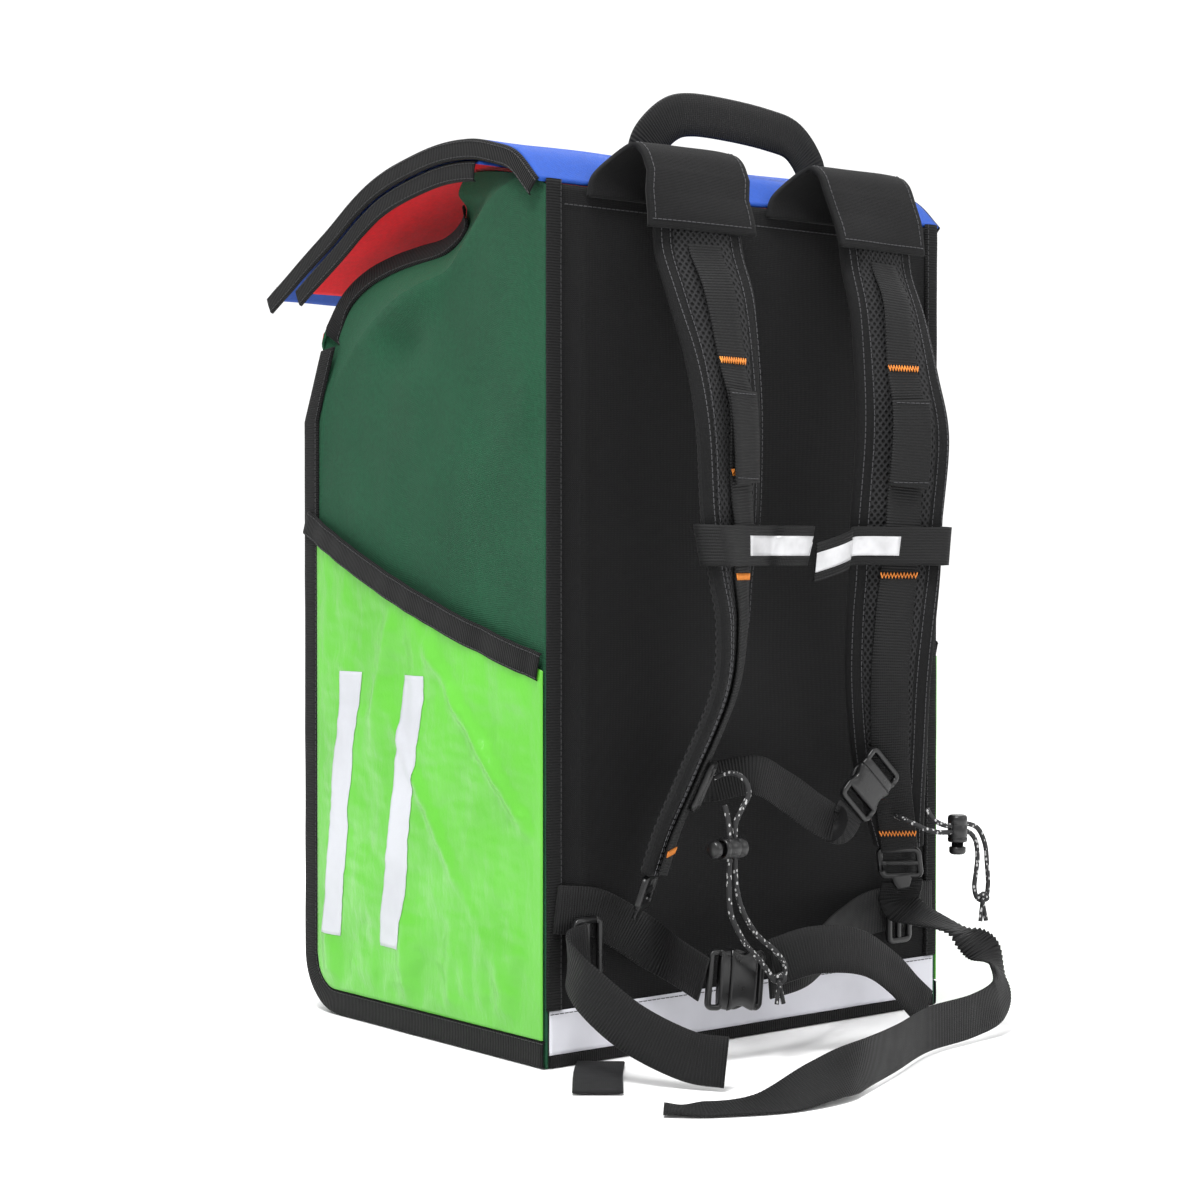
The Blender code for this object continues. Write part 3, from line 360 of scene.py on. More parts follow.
class Shader:
    """A material's node tree with short calls for the nodes used here."""

    def __init__(self, name, roughness, metallic=0.0, specular=0.5, sheen=0.0):
        self.material = bpy.data.materials.new(name)
        self.material.use_nodes = True
        self.tree = self.material.node_tree
        self.surface = self.tree.nodes["Principled BSDF"]
        self.surface.inputs["Roughness"].default_value = roughness
        self.surface.inputs["Metallic"].default_value = metallic
        self.surface.inputs["Specular IOR Level"].default_value = specular
        self.surface.inputs["Sheen Weight"].default_value = sheen
        self.surface.inputs["Sheen Roughness"].default_value = 0.4
        self.places = self.tree.nodes.new("ShaderNodeTexCoord")

    def join(self, source, target):
        """Links a source to a target."""
        self.tree.links.new(source, target)

    def mapped(self, kind, scale, turn=0.0):
        """Coordinates of a kind, scaled and turned about Z."""
        node = self.tree.nodes.new("ShaderNodeMapping")
        node.inputs["Scale"].default_value = scale
        node.inputs["Rotation"].default_value = (0, 0, math.radians(turn))
        self.join(self.places.outputs[kind], node.inputs["Vector"])
        return node.outputs["Vector"]

    def noise(self, size, detail, stretch=(1, 1, 1)):
        """Cloudy values from 0 to 1, with lumps of about size metres."""
        node = self.tree.nodes.new("ShaderNodeTexNoise")
        node.inputs["Scale"].default_value = 1.0
        node.inputs["Detail"].default_value = detail
        self.join(self.mapped("Object", [s / size for s in stretch]), node.inputs["Vector"])
        return node.outputs["Fac"]

    def cells(self, kind, scale):
        """Distances from the middles of scattered cells."""
        node = self.tree.nodes.new("ShaderNodeTexVoronoi")
        node.inputs["Scale"].default_value = 1.0
        self.join(self.mapped(kind, scale), node.inputs["Vector"])
        return node.outputs["Distance"]

    def ribs(self, pitch, direction, turn=0.0):
        """Even ribs of the cloth, pitch metres apart, along U or V."""
        node = self.tree.nodes.new("ShaderNodeTexWave")
        node.bands_direction = direction
        node.inputs["Scale"].default_value = 0.314159 / pitch
        node.inputs["Distortion"].default_value = 0.0
        self.join(self.mapped("UV", (1, 1, 1), turn), node.inputs["Vector"])
        return node.outputs["Fac"]

    def math(self, operation, one, two):
        """The outcome of a sum with two values or sockets."""
        node = self.tree.nodes.new("ShaderNodeMath")
        node.operation = operation
        for socket, value in zip(node.inputs, (one, two)):
            if isinstance(value, (int, float)):
                socket.default_value = value
            else:
                self.join(value, socket)
        return node.outputs["Value"]

    def ramp(self, value, stops):
        """Colours along a value, from (place, colour) stops."""
        node = self.tree.nodes.new("ShaderNodeValToRGB")
        marks = node.color_ramp.elements
        while len(marks) < len(stops):
            marks.new(0.5)
        for mark, (place, colour) in zip(marks, stops):
            mark.position = place
            mark.color = (*colour, 1.0)
        self.join(value, node.inputs["Fac"])
        return node.outputs["Color"]

    def mix(self, one, share, two):
        """A share of one value, and the rest of another."""
        return self.math("ADD", self.math("MULTIPLY", one, share), self.math("MULTIPLY", two, 1 - share))

    def tones(self, value, colour, *stops):
        """The base colour, from (place, factor) stops along a value."""
        made = self.ramp(value, [(place, shade(colour, factor)) for place, factor in stops])
        self.join(made, self.surface.inputs["Base Color"])

    def roughness(self, value, low, high):
        """Roughness from low to high along a value."""
        node = self.tree.nodes.new("ShaderNodeMapRange")
        node.inputs["To Min"].default_value = low
        node.inputs["To Max"].default_value = high
        self.join(value, node.inputs["Value"])
        self.join(node.outputs["Result"], self.surface.inputs["Roughness"])

    def bump(self, heights):
        """Bumps on top of each other, from (value, strength, metres) rows."""
        last = None
        for value, strength, distance in heights:
            node = self.tree.nodes.new("ShaderNodeBump")
            node.inputs["Strength"].default_value = strength
            node.inputs["Distance"].default_value = distance
            self.join(value, node.inputs["Height"])
            if last is not None:
                self.join(last, node.inputs["Normal"])
            last = node.outputs["Normal"]
        self.join(last, self.surface.inputs["Normal"])


def shade(colour, factor):
    """The colour, lighter or darker by a factor."""
    return tuple(min(1.0, c * factor) for c in colour)


def woven(name, colour, pitch, roughness, depth=0.0003, vary=0.25):
    """A plain weave with uneven threads, soft patches and a little dust, and painted light on its raised
    threads.
    """
    made = Shader(name, roughness, sheen=0.02, specular=0.25)
    weave = made.math("MULTIPLY", made.ribs(pitch, "X"), made.ribs(pitch, "Y"))
    slub = made.noise(pitch * 2.5, 2.0)
    cloud = made.noise(0.06, 4.0)
    grain = made.mix(slub, 0.55, cloud)
    # Painted light and shade: the raised thread crossings are lighter and the gaps darker; the grain adds
    # random tone.
    lit = made.math("ADD", made.math("MULTIPLY", weave, WEAVE_PAINTED_LIGHT), grain)
    made.tones(lit, colour, (0.25, 1 - vary), (0.55, 1), (0.85, 1 + vary))
    made.roughness(grain, roughness - 0.08, min(1.0, roughness + 0.08))
    made.bump(((cloud, 0.35, 0.003), (slub, 0.5, depth), (weave, 0.9, depth)))
    return made.material


def ribbed(name, colour, across, along, roughness, specular):
    """Webbing or binding tape: strong ribs across, fine yarns along, with painted light on the rib crests
    and painted shade in the troughs.
    """
    made = Shader(name, roughness, sheen=0.03, specular=specular)
    cross, yarn = made.ribs(across, "Y"), made.ribs(along, "X")
    wear = made.noise(0.012, 4.0)
    mixed = made.mix(made.mix(cross, 0.7, yarn), 0.55, wear)
    # Painted light on the rib crests and painted shade in the troughs; the wear noise adds random patches.
    made.tones(mixed, colour, (0.2, 0.45), (0.55, 1), (0.9, 1.9))
    made.roughness(wear, roughness - 0.1, roughness + 0.1)
    made.bump(((wear, 0.2, 0.0006), (yarn, 0.4, RIB_DEPTH * 0.6), (cross, 0.9, RIB_DEPTH)))
    return made.material


def air_mesh(name, colour):
    """Spacer mesh: diamond holes between raised yarns, with painted shade in the holes and painted light on
    the yarns.
    """
    made = Shader(name, 0.78, sheen=0.02, specular=0.20)
    one, two = made.ribs(0.0034, "X", 40), made.ribs(0.0034, "X", -40)
    cells = made.math("MULTIPLY", one, two)
    fuzz = made.noise(0.0015, 2.0)
    # Painted shade: the holes are darkened to 0.15 of the colour; painted light: the raised yarns are
    # lightened to 2.6.
    made.tones(made.mix(cells, 0.8, fuzz), colour, (0.15, 2.6), (0.40, 1), (0.75, 0.15))
    depth = made.math("SUBTRACT", 1.0, cells)
    made.bump(((fuzz, 0.3, 0.0004), (depth, 1.0, 0.0012)))
    return made.material


def nylon(name, colour):
    """Thin coated nylon: glossy, with fine threads and creases."""
    made = Shader(name, 0.38, sheen=0.05, specular=0.5)
    fine = made.math("MULTIPLY", made.ribs(0.0009, "X"), made.ribs(0.0009, "Y"))
    crease = made.noise(0.022, 5.0, stretch=(1, 1, 0.45))
    cloud = made.noise(0.09, 3.0)
    made.tones(cloud, colour, (0.25, 0.86), (0.5, 1), (0.8, 1.12))
    made.roughness(crease, 0.22, 0.42)
    made.bump(((crease, 0.75, 0.0040), (fine, 0.25, 0.0001)))
    return made.material


def moulded(name, colour, roughness):
    """Moulded plastic with a fine texture and rubbed patches."""
    made = Shader(name, roughness, specular=0.5)
    grain, rub = made.noise(0.0006, 2.0), made.noise(0.010, 4.0)
    made.tones(rub, colour, (0.3, 0.8), (0.6, 1), (0.85, 1.7))
    made.roughness(rub, roughness - 0.07, roughness + 0.12)
    made.bump(((rub, 0.08, 0.001), (grain, 0.12, 0.0001)))
    return made.material


def glass_bead(name, colour):
    """Reflective tape: a fine honeycomb under a grey film, a little crinkled."""
    made = Shader(name, 0.35, metallic=0.25, specular=0.6)
    cell = made.cells("UV", (900, 900, 900))
    crinkle = made.noise(0.010, 3.0)
    made.tones(crinkle, colour, (0.3, 0.82), (0.6, 1), (0.9, 1.15))
    made.bump(((crinkle, 0.3, 0.0010), (cell, 0.2, 0.0001)))
    return made.material


def flecked(name, colour, fleck):
    """Braided elastic: dark yarn with scattered light flecks."""
    made = Shader(name, 0.7, sheen=0.03)
    cell = made.cells("Object", (420, 420, 300))
    spot = made.math("LESS_THAN", cell, 0.32)
    braid = made.noise(0.0011, 2.0)
    made.join(made.ramp(spot, ((0.0, colour), (1.0, fleck))), made.surface.inputs["Base Color"])
    made.bump(((cell, 0.6, 0.0004), (braid, 0.5, 0.0003)))
    return made.material


def coated(name, colour):
    """White coated cloth, a little darker in the hollows of its soft bumps."""
    made = Shader(name, 0.42, specular=0.5)
    cloud = made.noise(0.05, 5.0)
    fine = made.noise(0.0016, 2.0)
    made.tones(cloud, colour, (0.25, 0.86), (0.6, 1), (0.9, 1.05))
    made.roughness(cloud, 0.34, 0.52)
    made.bump(((cloud, 0.2, 0.002), (fine, 0.25, 0.0002)))
    return made.material


MATERIALS = {
    "green_canvas": woven("green_canvas", (0.0080, 0.064, 0.029), 0.00125, 0.82, depth=0.0004, vary=0.30),
    "blue_canvas": woven("blue_canvas", (0.014, 0.072, 0.380), 0.00115, 0.70, vary=0.20),
    "red_lining": woven("red_lining", (0.780, 0.004, 0.012), 0.00110, 0.75, vary=0.22),
    "black_canvas": woven("black_canvas", (0.0048, 0.0048, 0.0052), 0.0012, 0.86, depth=0.0004, vary=0.45),
    "cap_canvas": woven("cap_canvas", (0.0060, 0.0060, 0.0064), 0.0010, 0.88, depth=0.0003, vary=0.45),
    "lime_nylon": nylon("lime_nylon", (0.100, 0.440, 0.030)),
    "white_print": coated("white_print", (0.52, 0.53, 0.57)),
    "white_vinyl": coated("white_vinyl", (0.74, 0.74, 0.80)),
    "black_binding": ribbed("black_binding", (0.0055, 0.0055, 0.0058), 0.0017, 0.0009, 0.80, 0.22),
    "black_webbing": ribbed("black_webbing", (0.0044, 0.0044, 0.0048), 0.0019, 0.0012, 0.66, 0.28),
    "black_mesh": air_mesh("black_mesh", (0.0080, 0.0080, 0.0084)),
    "reflective_tape": glass_bead("reflective_tape", (0.62, 0.62, 0.635)),
    "black_plastic": moulded("black_plastic", (0.0085, 0.0085, 0.0090), 0.28),
    "elastic_cord": flecked("elastic_cord", (0.012, 0.012, 0.013), (0.42, 0.42, 0.42)),
    "black_thread": moulded("black_thread", (0.030, 0.030, 0.032), 0.60),
    "grey_thread": moulded("grey_thread", (0.060, 0.060, 0.065), 0.60),
    "orange_thread": moulded("orange_thread", (0.90, 0.28, 0.035), 0.50),
}


# Shapes


def smooth(rows, count):
    """Rows of numbers read at equal steps along a Catmull-Rom curve through them."""
    rows = np.asarray(rows, float)
    padded = np.vstack([2 * rows[0] - rows[1], rows, 2 * rows[-1] - rows[-2]])
    result = []
    for place in np.linspace(0, len(rows) - 1, count):
        i = min(int(place), len(rows) - 2)
        t = place - i
        p0, p1, p2, p3 = padded[i : i + 4]
        cubic = 2 * p1 + (p2 - p0) * t + (2 * p0 - 5 * p1 + 4 * p2 - p3) * t**2
        result.append((cubic + (3 * p1 - p0 - 3 * p2 + p3) * t**3) / 2)
    return np.array(result)


def even(points, step):
    """Points along a line at equal arc lengths of about step."""
    points = np.asarray(points, float)
    run = np.concatenate([[0], np.cumsum(np.linalg.norm(np.diff(points, axis=0), axis=1))])
    count = max(2, int(round(run[-1] / step)) + 1)
    return np.stack(
        [np.interp(np.linspace(0, run[-1], count), run, points[:, k]) for k in range(points.shape[1])], 1
    )


def unit(vector):
    """The vector at length 1."""
    return np.asarray(vector, float) / np.linalg.norm(vector)


def rows_unit(vectors):
    """Each row of vectors at length 1."""
    return vectors / np.maximum(np.linalg.norm(vectors, axis=-1, keepdims=True), 1e-12)


def mirrored(points, side):
    """Points of the left side, or their mirror on the right."""
    return np.asarray(points) * np.array([-side, 1.0, 1.0])


def all_along(direction, line):
    """The direction, once for each point of the line."""
    return np.tile(np.asarray(direction, float), (len(line), 1))


def lump(y, z, seed, size):
    """A smooth noise from about -1 to 1."""
    return noise.noise(Vector((y / size, z / size, seed * 7.31)))


def finish_piece(piece, finish, node=None, body="bag", slot=None):
    """Gives a piece its material and its body, and hides the imported part that it stands for. The slot is
    not used.
    """
    if not piece.data.materials:
        piece.data.materials.append(MATERIALS[finish])
    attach(piece, body)
    if node:
        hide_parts(node)
    return piece


def mesh_piece(name, points, faces, uvs, finish, **facts):
    mesh = bpy.data.meshes.new(name)
    mesh.from_pydata([tuple(p) for p in points], [], faces)
    layer = mesh.uv_layers.new(name="cloth")
    flat = np.asarray(uvs, float)[[k for face in faces for k in face]]
    layer.data.foreach_set("uv", flat.ravel())
    mesh.polygons.foreach_set("use_smooth", [True] * len(mesh.polygons))
    mesh.update()
    piece = bpy.data.objects.new(name, mesh)
    bpy.context.scene.collection.objects.link(piece)
    for extra in facts.pop("materials", ()):
        mesh.materials.append(MATERIALS[extra])
    return finish_piece(piece, finish, **facts)


def cloth(name, grid, finish, thick, out, inner=None, held=None, **facts):
    """A sheet from a grid of points, thickened on the side away from out."""
    grid = np.asarray(grid, float)
    ahead, aside = grid[1:, :-1] - grid[:-1, :-1], grid[:-1, 1:] - grid[:-1, :-1]
    area = float(np.linalg.norm(np.cross(ahead, aside), axis=2).sum())
    rows, columns = grid.shape[:2]
    u = np.concatenate([[0], np.cumsum(np.linalg.norm(np.diff(grid, axis=1), axis=2).mean(0))])
    v = np.concatenate([[0], np.cumsum(np.linalg.norm(np.diff(grid, axis=0), axis=2).mean(1))])
    uvs = [(a, b) for b in v for a in u]
    faces = []
    for i in range(rows - 1):
        for j in range(columns - 1):
            a = i * columns + j
            faces.append((a, a + 1, a + columns + 1, a + columns))
    normal = np.cross(aside, ahead).reshape(-1, 3).mean(0)
    if normal @ np.asarray(out, float) < 0:
        faces = [face[::-1] for face in faces]
    materials = (finish, inner) if inner else ()
    piece = mesh_piece(name, grid.reshape(-1, 3), faces, uvs, finish, materials=materials, **facts)
    solid = piece.modifiers.new("thickness", "SOLIDIFY")
    solid.thickness = thick
    solid.offset = -1
    if inner:
        solid.material_offset = 1
    return piece


def tube(name, rings, finish, **facts):
    """A closed solid through rings of equal size."""
    rings = np.asarray(rings, float)
    count, size = rings.shape[:2]
    girth = np.concatenate([[0], np.cumsum(np.linalg.norm(np.diff(rings[count // 2], axis=0), axis=1))])
    run = np.concatenate([[0], np.cumsum(np.linalg.norm(np.diff(rings.mean(1), axis=0), axis=1))])
    uvs = [(a, b) for b in run for a in girth]
    faces = [tuple(range(size))[::-1], tuple((count - 1) * size + k for k in range(size))]
    for i in range(count - 1):
        for k in range(size):
            a, b = i * size + k, i * size + (k + 1) % size
            faces.append((a, b, b + size, a + size))
    points = rings.reshape(-1, 3)
    middle = rings[count // 2]
    spin = np.cross(middle[1] - middle[0], rings[count // 2 + 1, 0] - middle[0])
    if spin @ (middle[0] - middle.mean(0)) < 0:
        faces = [face[::-1] for face in faces]
    return mesh_piece(name, points, faces, uvs, finish, **facts)


def lines(name, runs, radius, finish, rounds=1, **facts):
    """Thin round threads along each run of points, as one curve piece."""
    data = bpy.data.curves.new(name, "CURVE")
    data.dimensions = "3D"
    data.bevel_depth = radius
    data.bevel_resolution = rounds
    data.use_fill_caps = True
    for run in runs:
        spline = data.splines.new("POLY")
        spline.points.add(len(run) - 1)
        for point, place in zip(spline.points, run):
            point.co = (*place, 1.0)
    piece = bpy.data.objects.new(name, data)
    bpy.context.scene.collection.objects.link(piece)
    return finish_piece(piece, finish, **facts)


def stitches(path, out):
    """Dashes of thread along a straight path, lifted off it along out."""
    fine = even(path, (STITCH + STITCH_GAP) / 4)
    high = np.asarray(out, float) * THREAD
    dashes = []
    for k in range(0, len(fine) - 3, 4):
        start, middle, end = fine[k], fine[k + 1], fine[k + 3]
        dashes.append([start + high * 0.3, middle + high, (middle + end) / 2 + high, end + high * 0.3])
    return dashes


def stitches_on(path, outs):
    """Dashes of thread along a path whose outward direction changes."""
    both = even(np.hstack([path, np.asarray(outs) * 1e-6]), (STITCH + STITCH_GAP) / 4)
    fine, out = both[:, :3], rows_unit(both[:, 3:])
    dashes = []
    for k in range(0, len(fine) - 3, 4):
        dashes.append([fine[k + n] + out[k] * THREAD * (0.3 if n in (0, 3) else 1.0) for n in range(4)])
    return dashes


def band_rings(points, ways, widths, thick, width):
    """Rings of a soft-edged band of webbing along points, with its width along widths."""
    rings = []
    half, edge = width / 2, min(thick * 0.45, width / 8)
    outline = [
        (-half, 0), (-half + edge, 0.5), (-half * 0.5, 0.5), (0, 0.5), (half * 0.5, 0.5), (half - edge, 0.5)
    ]
    outline += [
        (half, 0), (half - edge, -0.5), (half * 0.5, -0.5), (0, -0.5), (-half * 0.5, -0.5),
        (-half + edge, -0.5)
    ]
    for point, way, wide in zip(points, ways, widths):
        out = unit(np.cross(way, wide))
        across = unit(np.cross(out, way))
        rings.append([point + across * a + out * n * thick for a, n in outline])
    return np.array(rings)


def webbing(name, rows, width, node):
    """A band of webbing along rows of a point and its width direction."""
    rows = even(smooth(rows, max(24, len(rows) * 12)), WEB_STEP)
    points = rows[:, :3]
    ways = rows_unit(np.gradient(points, axis=0))
    return tube(name, band_rings(points, ways, rows[:, 3:], WEB_CLOTH, width), "black_webbing", node=node)


def on_body(rows):
    """Rows in shares of the body, with their points in metres."""
    rows = np.asarray(rows, float).copy()
    rows[:, :3] *= (BODY_WIDTH, BODY_DEPTH, BACK_HEIGHT)
    return rows


def body_point(x, y, z):
    """A point in shares of the body, in metres."""
    return np.array([x * BODY_WIDTH, y * BODY_DEPTH, z * BACK_HEIGHT])


def frame_at(origin, across, along):
    """A function that places points of a part's own axes."""
    across, along = unit(across), unit(along)
    out = np.cross(across, along)

    def place(point):
        return np.asarray(origin) + across * point[0] + along * point[1] + out * point[2]

    return place


# The bag's body


def front_edge(z):
    """The front face's y at a height."""
    lean = max(0.0, (z - LEAN_START) / (FRONT_HEIGHT - LEAN_START))
    if z >= FRONT_CORNER:
        return FRONT_Y - FRONT_LEAN * lean
    return FRONT_Y - FRONT_CORNER + math.sqrt(max(0.0, FRONT_CORNER**2 - (FRONT_CORNER - z) ** 2))


def foot_height(y):
    """Height of the rounded front foot at y."""
    inside = min(max(0.0, y - FRONT_Y + FRONT_CORNER), FRONT_CORNER)
    return FRONT_CORNER - math.sqrt(FRONT_CORNER**2 - inside**2)


def hem_height(y):
    """Height of the pocket's hem at y."""
    share = (y - BACK_Y) / BODY_DEPTH
    slope = POCKET_BACK_HEIGHT + (POCKET_FRONT_HEIGHT - POCKET_BACK_HEIGHT) * share
    return slope - HEM * 0.4 * math.sin(math.pi * share)


def ease(value, low, high):
    """From 0 at low to 1 at high, with soft ends."""
    t = min(1.0, max(0.0, (value - low) / (high - low)))
    return t * t * (3 - 2 * t)


def side_relief(y, z, seed):
    """How far the side cloth stands out, for its soft folds and its dimple below the mouth."""
    above = ease(z, hem_height(y), hem_height(y) + 0.030)
    inside = ease(FRONT_Y - y, BINDING * 0.9, BINDING + 0.020) * ease(y - BACK_Y, 0.002, 0.020)
    bulge = 0.0022 * math.sin(math.pi * min(1.0, max(0.0, (y - BACK_Y) / BODY_DEPTH)))
    soft = 0.0034 * lump(y, z, seed, 0.080) + 0.0012 * lump(y, z, seed + 3, 0.030)
    dimple = -0.0080 * math.exp(-(((y - 0.011) / 0.026) ** 2) - ((z - 0.452) / 0.016) ** 2)
    ridge = 0.0050 * math.exp(-(((z - 0.478 + 0.35 * (y - 0.011)) / 0.012) ** 2) - ((y - 0.02) / 0.05) ** 2)
    return above * inside * (bulge + soft + dimple + ridge)


def side_surface(columns, rows_below, rows_fold, seed):
    """The left side panel's outer face, from the bottom up to its bound edge."""
    table = smooth(SIDE_FOLD, columns)
    foot_y = np.linspace(BACK_Y, FRONT_Y, columns)
    floor = np.array([foot_height(y) for y in foot_y])
    levels = []
    for share in np.linspace(0, 1, rows_below):
        y = foot_y + (table[:, 0] * BODY_DEPTH - foot_y) * share**2
        z = floor + (table[:, 1] * BACK_HEIGHT - floor) * share
        y[-1] = front_edge(z[-1])
        x = [-SIDE_X - side_relief(a, b, seed) for a, b in zip(y, z)]
        levels.append(np.stack([x, y, z], 1))
    crest = levels[-1]
    tuck = np.maximum(0, table[:, 4]) * FOLD_DEPTH
    edge = np.stack([-SIDE_X + tuck, table[:, 2] * BODY_DEPTH, table[:, 3] * BACK_HEIGHT], 1)
    edge[-1, 1:] = (front_edge(FRONT_HEIGHT), FRONT_HEIGHT)
    for share in np.linspace(0, 1, rows_fold + 1)[1:]:
        row = crest * (1 - share) + edge * share
        row[:, 0] = crest[:, 0] + (edge[:, 0] - crest[:, 0]) * math.sin(share * math.pi / 2)
        row[:, 0] -= 0.0015 * math.sin(math.pi * share) * np.minimum(1, tuck / 0.01)
        levels.append(row)
    return np.array(levels)


def ribbon(name, side, line, inward, outs, width, thick, edges=(0.0015,), **facts):
    """A band of cloth from a line of points inwards, with rounded edges and stitch lines."""
    line, inward, outs = [mirrored(part, side) for part in (line, inward, outs)]
    inward, outs = rows_unit(inward), rows_unit(outs)
    grid = [
        [point + way * width * a + out * thick * n for a, n in RIBBON_SECTION]
        for point, way, out in zip(line, inward, outs)
    ]
    piece = cloth(name, grid, "black_binding", thick * 0.3, outs.mean(0), **facts)
    runs = []
    for inset in edges:
        runs += stitches_on(line + inward * (width - inset) + outs * thick * 0.95, outs)
    if runs:
        lines(name + "_stitches", runs, THREAD, "black_thread")
    return piece


def side_outline():
    """The side's outline from the back bottom corner round to the front top, with the way inwards."""
    points, ways = [(BACK_Y, 0.0), (FRONT_Y - FRONT_CORNER, 0.0)], [(0, 1), (0, 1)]
    for turn in np.radians(np.linspace(-90, 0, 14)[1:]):
        points.append((FRONT_Y - FRONT_CORNER * (1 - math.cos(turn)), FRONT_CORNER * (1 + math.sin(turn))))
        ways.append((-math.cos(turn), -math.sin(turn)))
    for z in (0.12, 0.25, 0.38, LEAN_START, 0.420, 0.436, 0.452):
        points.append((front_edge(z), z))
        ways.append((-1, 0) if z <= LEAN_START else (-0.95, 0.12))
    both = even(np.hstack([points, np.array(ways) * 1e-6]), 0.004)
    return both[:, :2], rows_unit(both[:, 2:])


def side_panels():
    """Side panels that fold in at the mouth, with their outline and mouth bindings."""
    for side, name in SIDES:
        face = side_surface(97, 84, 22, 1.0 if side < 0 else 5.0)
        out = (side, 0, 0)
        cloth(
            "side_shell_" + name, mirrored(face, side), "green_canvas", CLOTH, out, inner="red_lining",
            held="stretched", node="side_panel_" + name, slot="green_canvas"
        )
        points, ways = side_outline()
        wobble = [0.0004 * lump(y, z, side * 2.0, 0.03) for y, z in points]
        line = np.array([(-SIDE_X - GAP - w, y, z) for (y, z), w in zip(points, wobble)])
        inward = np.array([(0, a, b) for a, b in ways])
        outs = all_along((-1.0, 0, 0), line)
        ribbon(
            "side_band_" + name, side, line, inward, outs, BINDING, BINDING_CLOTH,
            node="side_binding_" + name
        )
        rim_line = even(face[-1, 38:], 0.004)
        tall = even(face[-8, 38:], 0.004)
        below = np.array([tall[np.argmin(np.linalg.norm(tall - p, axis=1))] for p in rim_line])
        inward = rows_unit(below - rim_line)
        inward = np.array([inward[max(0, k - 4) : k + 5].mean(0) for k in range(len(inward))])
        ahead = np.gradient(rim_line, axis=0)
        outs = rows_unit(np.cross(ahead, inward))
        outs *= np.sign(-outs[:, :1])
        ribbon(
            "mouth_band_" + name, side, rim_line + outs * GAP, inward, outs, MOUTH_BINDING, BINDING_CLOTH,
            node="mouth_binding_" + name
        )


def pocket_slack(y, z):
    """How far the loose pocket stands off the side."""
    across = (y - BACK_Y - CORNER_BINDING) / (BODY_DEPTH - CORNER_BINDING - BINDING)
    up = (z - BINDING) / (hem_height(y) - BINDING)
    wide = max(0.0, 1 - abs(2 * across - 1) ** 4)
    return POCKET_SLACK * wide * min(1.0, max(0.0, up) * 5) ** 0.5


def pocket_wrinkles(y, z, seed):
    """Creases of the thin pocket: upright streaks at its top, a long diagonal fold, small ones below."""
    top = hem_height(y)
    near_top = math.exp(-max(0.0, top - z) / 0.075)
    streak = lump(y * 4.2, z * 0.7, seed, 0.075) * near_top * 0.0075
    ridge = 0.0
    for y0, slope, z0, width, middle, reach, height in POCKET_FOLDS:
        away = (y - y0) - slope * (z - z0)
        ridge += math.exp(-((away / width) ** 2)) * math.exp(-(((z - middle) / reach) ** 2)) * height
    small = 0.0026 * lump(y + 0.6 * z, z, seed + 2, 0.032) + 0.0009 * lump(y, z * 2, seed + 4, 0.014)
    foot = 0.0055 * lump(y * 2.2, z, seed + 6, 0.035) * math.exp(-((z - 0.045) / 0.030) ** 2)
    edge = ease(FRONT_Y - BINDING - y, 0.0, 0.018) * ease(y - BACK_Y, 0.0, 0.018)
    edge *= ease(z, BINDING, BINDING + 0.014)
    under_hem = 0.25 + 0.75 * ease(top - z, HEM + 0.002, HEM + 0.022)
    return edge * under_hem * (streak + ridge + small + foot)


def pocket_face(y, z, seed, lift=0.0):
    """A point of the left pocket's outer face."""
    stand = max(0.0006, pocket_slack(y, z) * 0.62 + pocket_wrinkles(y, z, seed))
    return (-SIDE_X - GAP - CLOTH * 0.75 - stand - lift, y, z)


def side_pockets():
    """Light cloth pockets with creases, a bound hem and two plain slanted bands."""
    low = BINDING + GAP
    depths = np.linspace(BACK_Y + GAP, FRONT_Y - BINDING - GAP, 110)
    radius = FRONT_CORNER - BINDING - GAP
    for side, name in SIDES:
        seed = 2.0 if side < 0 else 9.0
        grid = []
        for share in np.linspace(0, 1, 120):
            row = []
            for y in depths:
                corner = min(max(0.0, y - (FRONT_Y - FRONT_CORNER)), radius)
                start = low + radius - math.sqrt(radius**2 - corner**2)
                row.append(pocket_face(y, start + (hem_height(y) - HEM * 0.6 - start) * share, seed))
            grid.append(row)
        cloth(
            "pocket_" + name, mirrored(grid, side), "lime_nylon", CLOTH * 0.4, (side, 0, 0), held="hung",
            node="side_pocket_" + name
        )
        line = np.array([
            pocket_face(y, hem_height(y), seed)
            for y in np.linspace(BACK_Y + GAP, FRONT_Y - BINDING * 0.5, 70)
        ])
        ahead = rows_unit(np.gradient(line, axis=0))
        inward = np.stack([np.zeros(len(line)), ahead[:, 2], -ahead[:, 1]], 1)
        outs = all_along((-1.0, 0, 0), line)
        ribbon(
            "pocket_band_" + name, side, line + outs * 0.0002, inward, outs, HEM, BINDING_CLOTH * 0.8,
            edges=(0.0018, HEM - 0.0018), node="pocket_hem_" + name
        )
        for number, middle in ((1, 0.085), (2, 0.010)):
            patch = []
            for z in np.linspace(0.055, 0.235, 60):
                patch.append([
                    pocket_face(middle + (z - 0.145) * -0.16 + w, z, seed, 0.0004)
                    for w in np.linspace(-0.012, 0.012, 14)
                ])
            cloth(
                "pocket_stripe_%s_%d" % (name, number), mirrored(patch, side), "white_print", 0.0002,
                (side, 0, 0)
            )


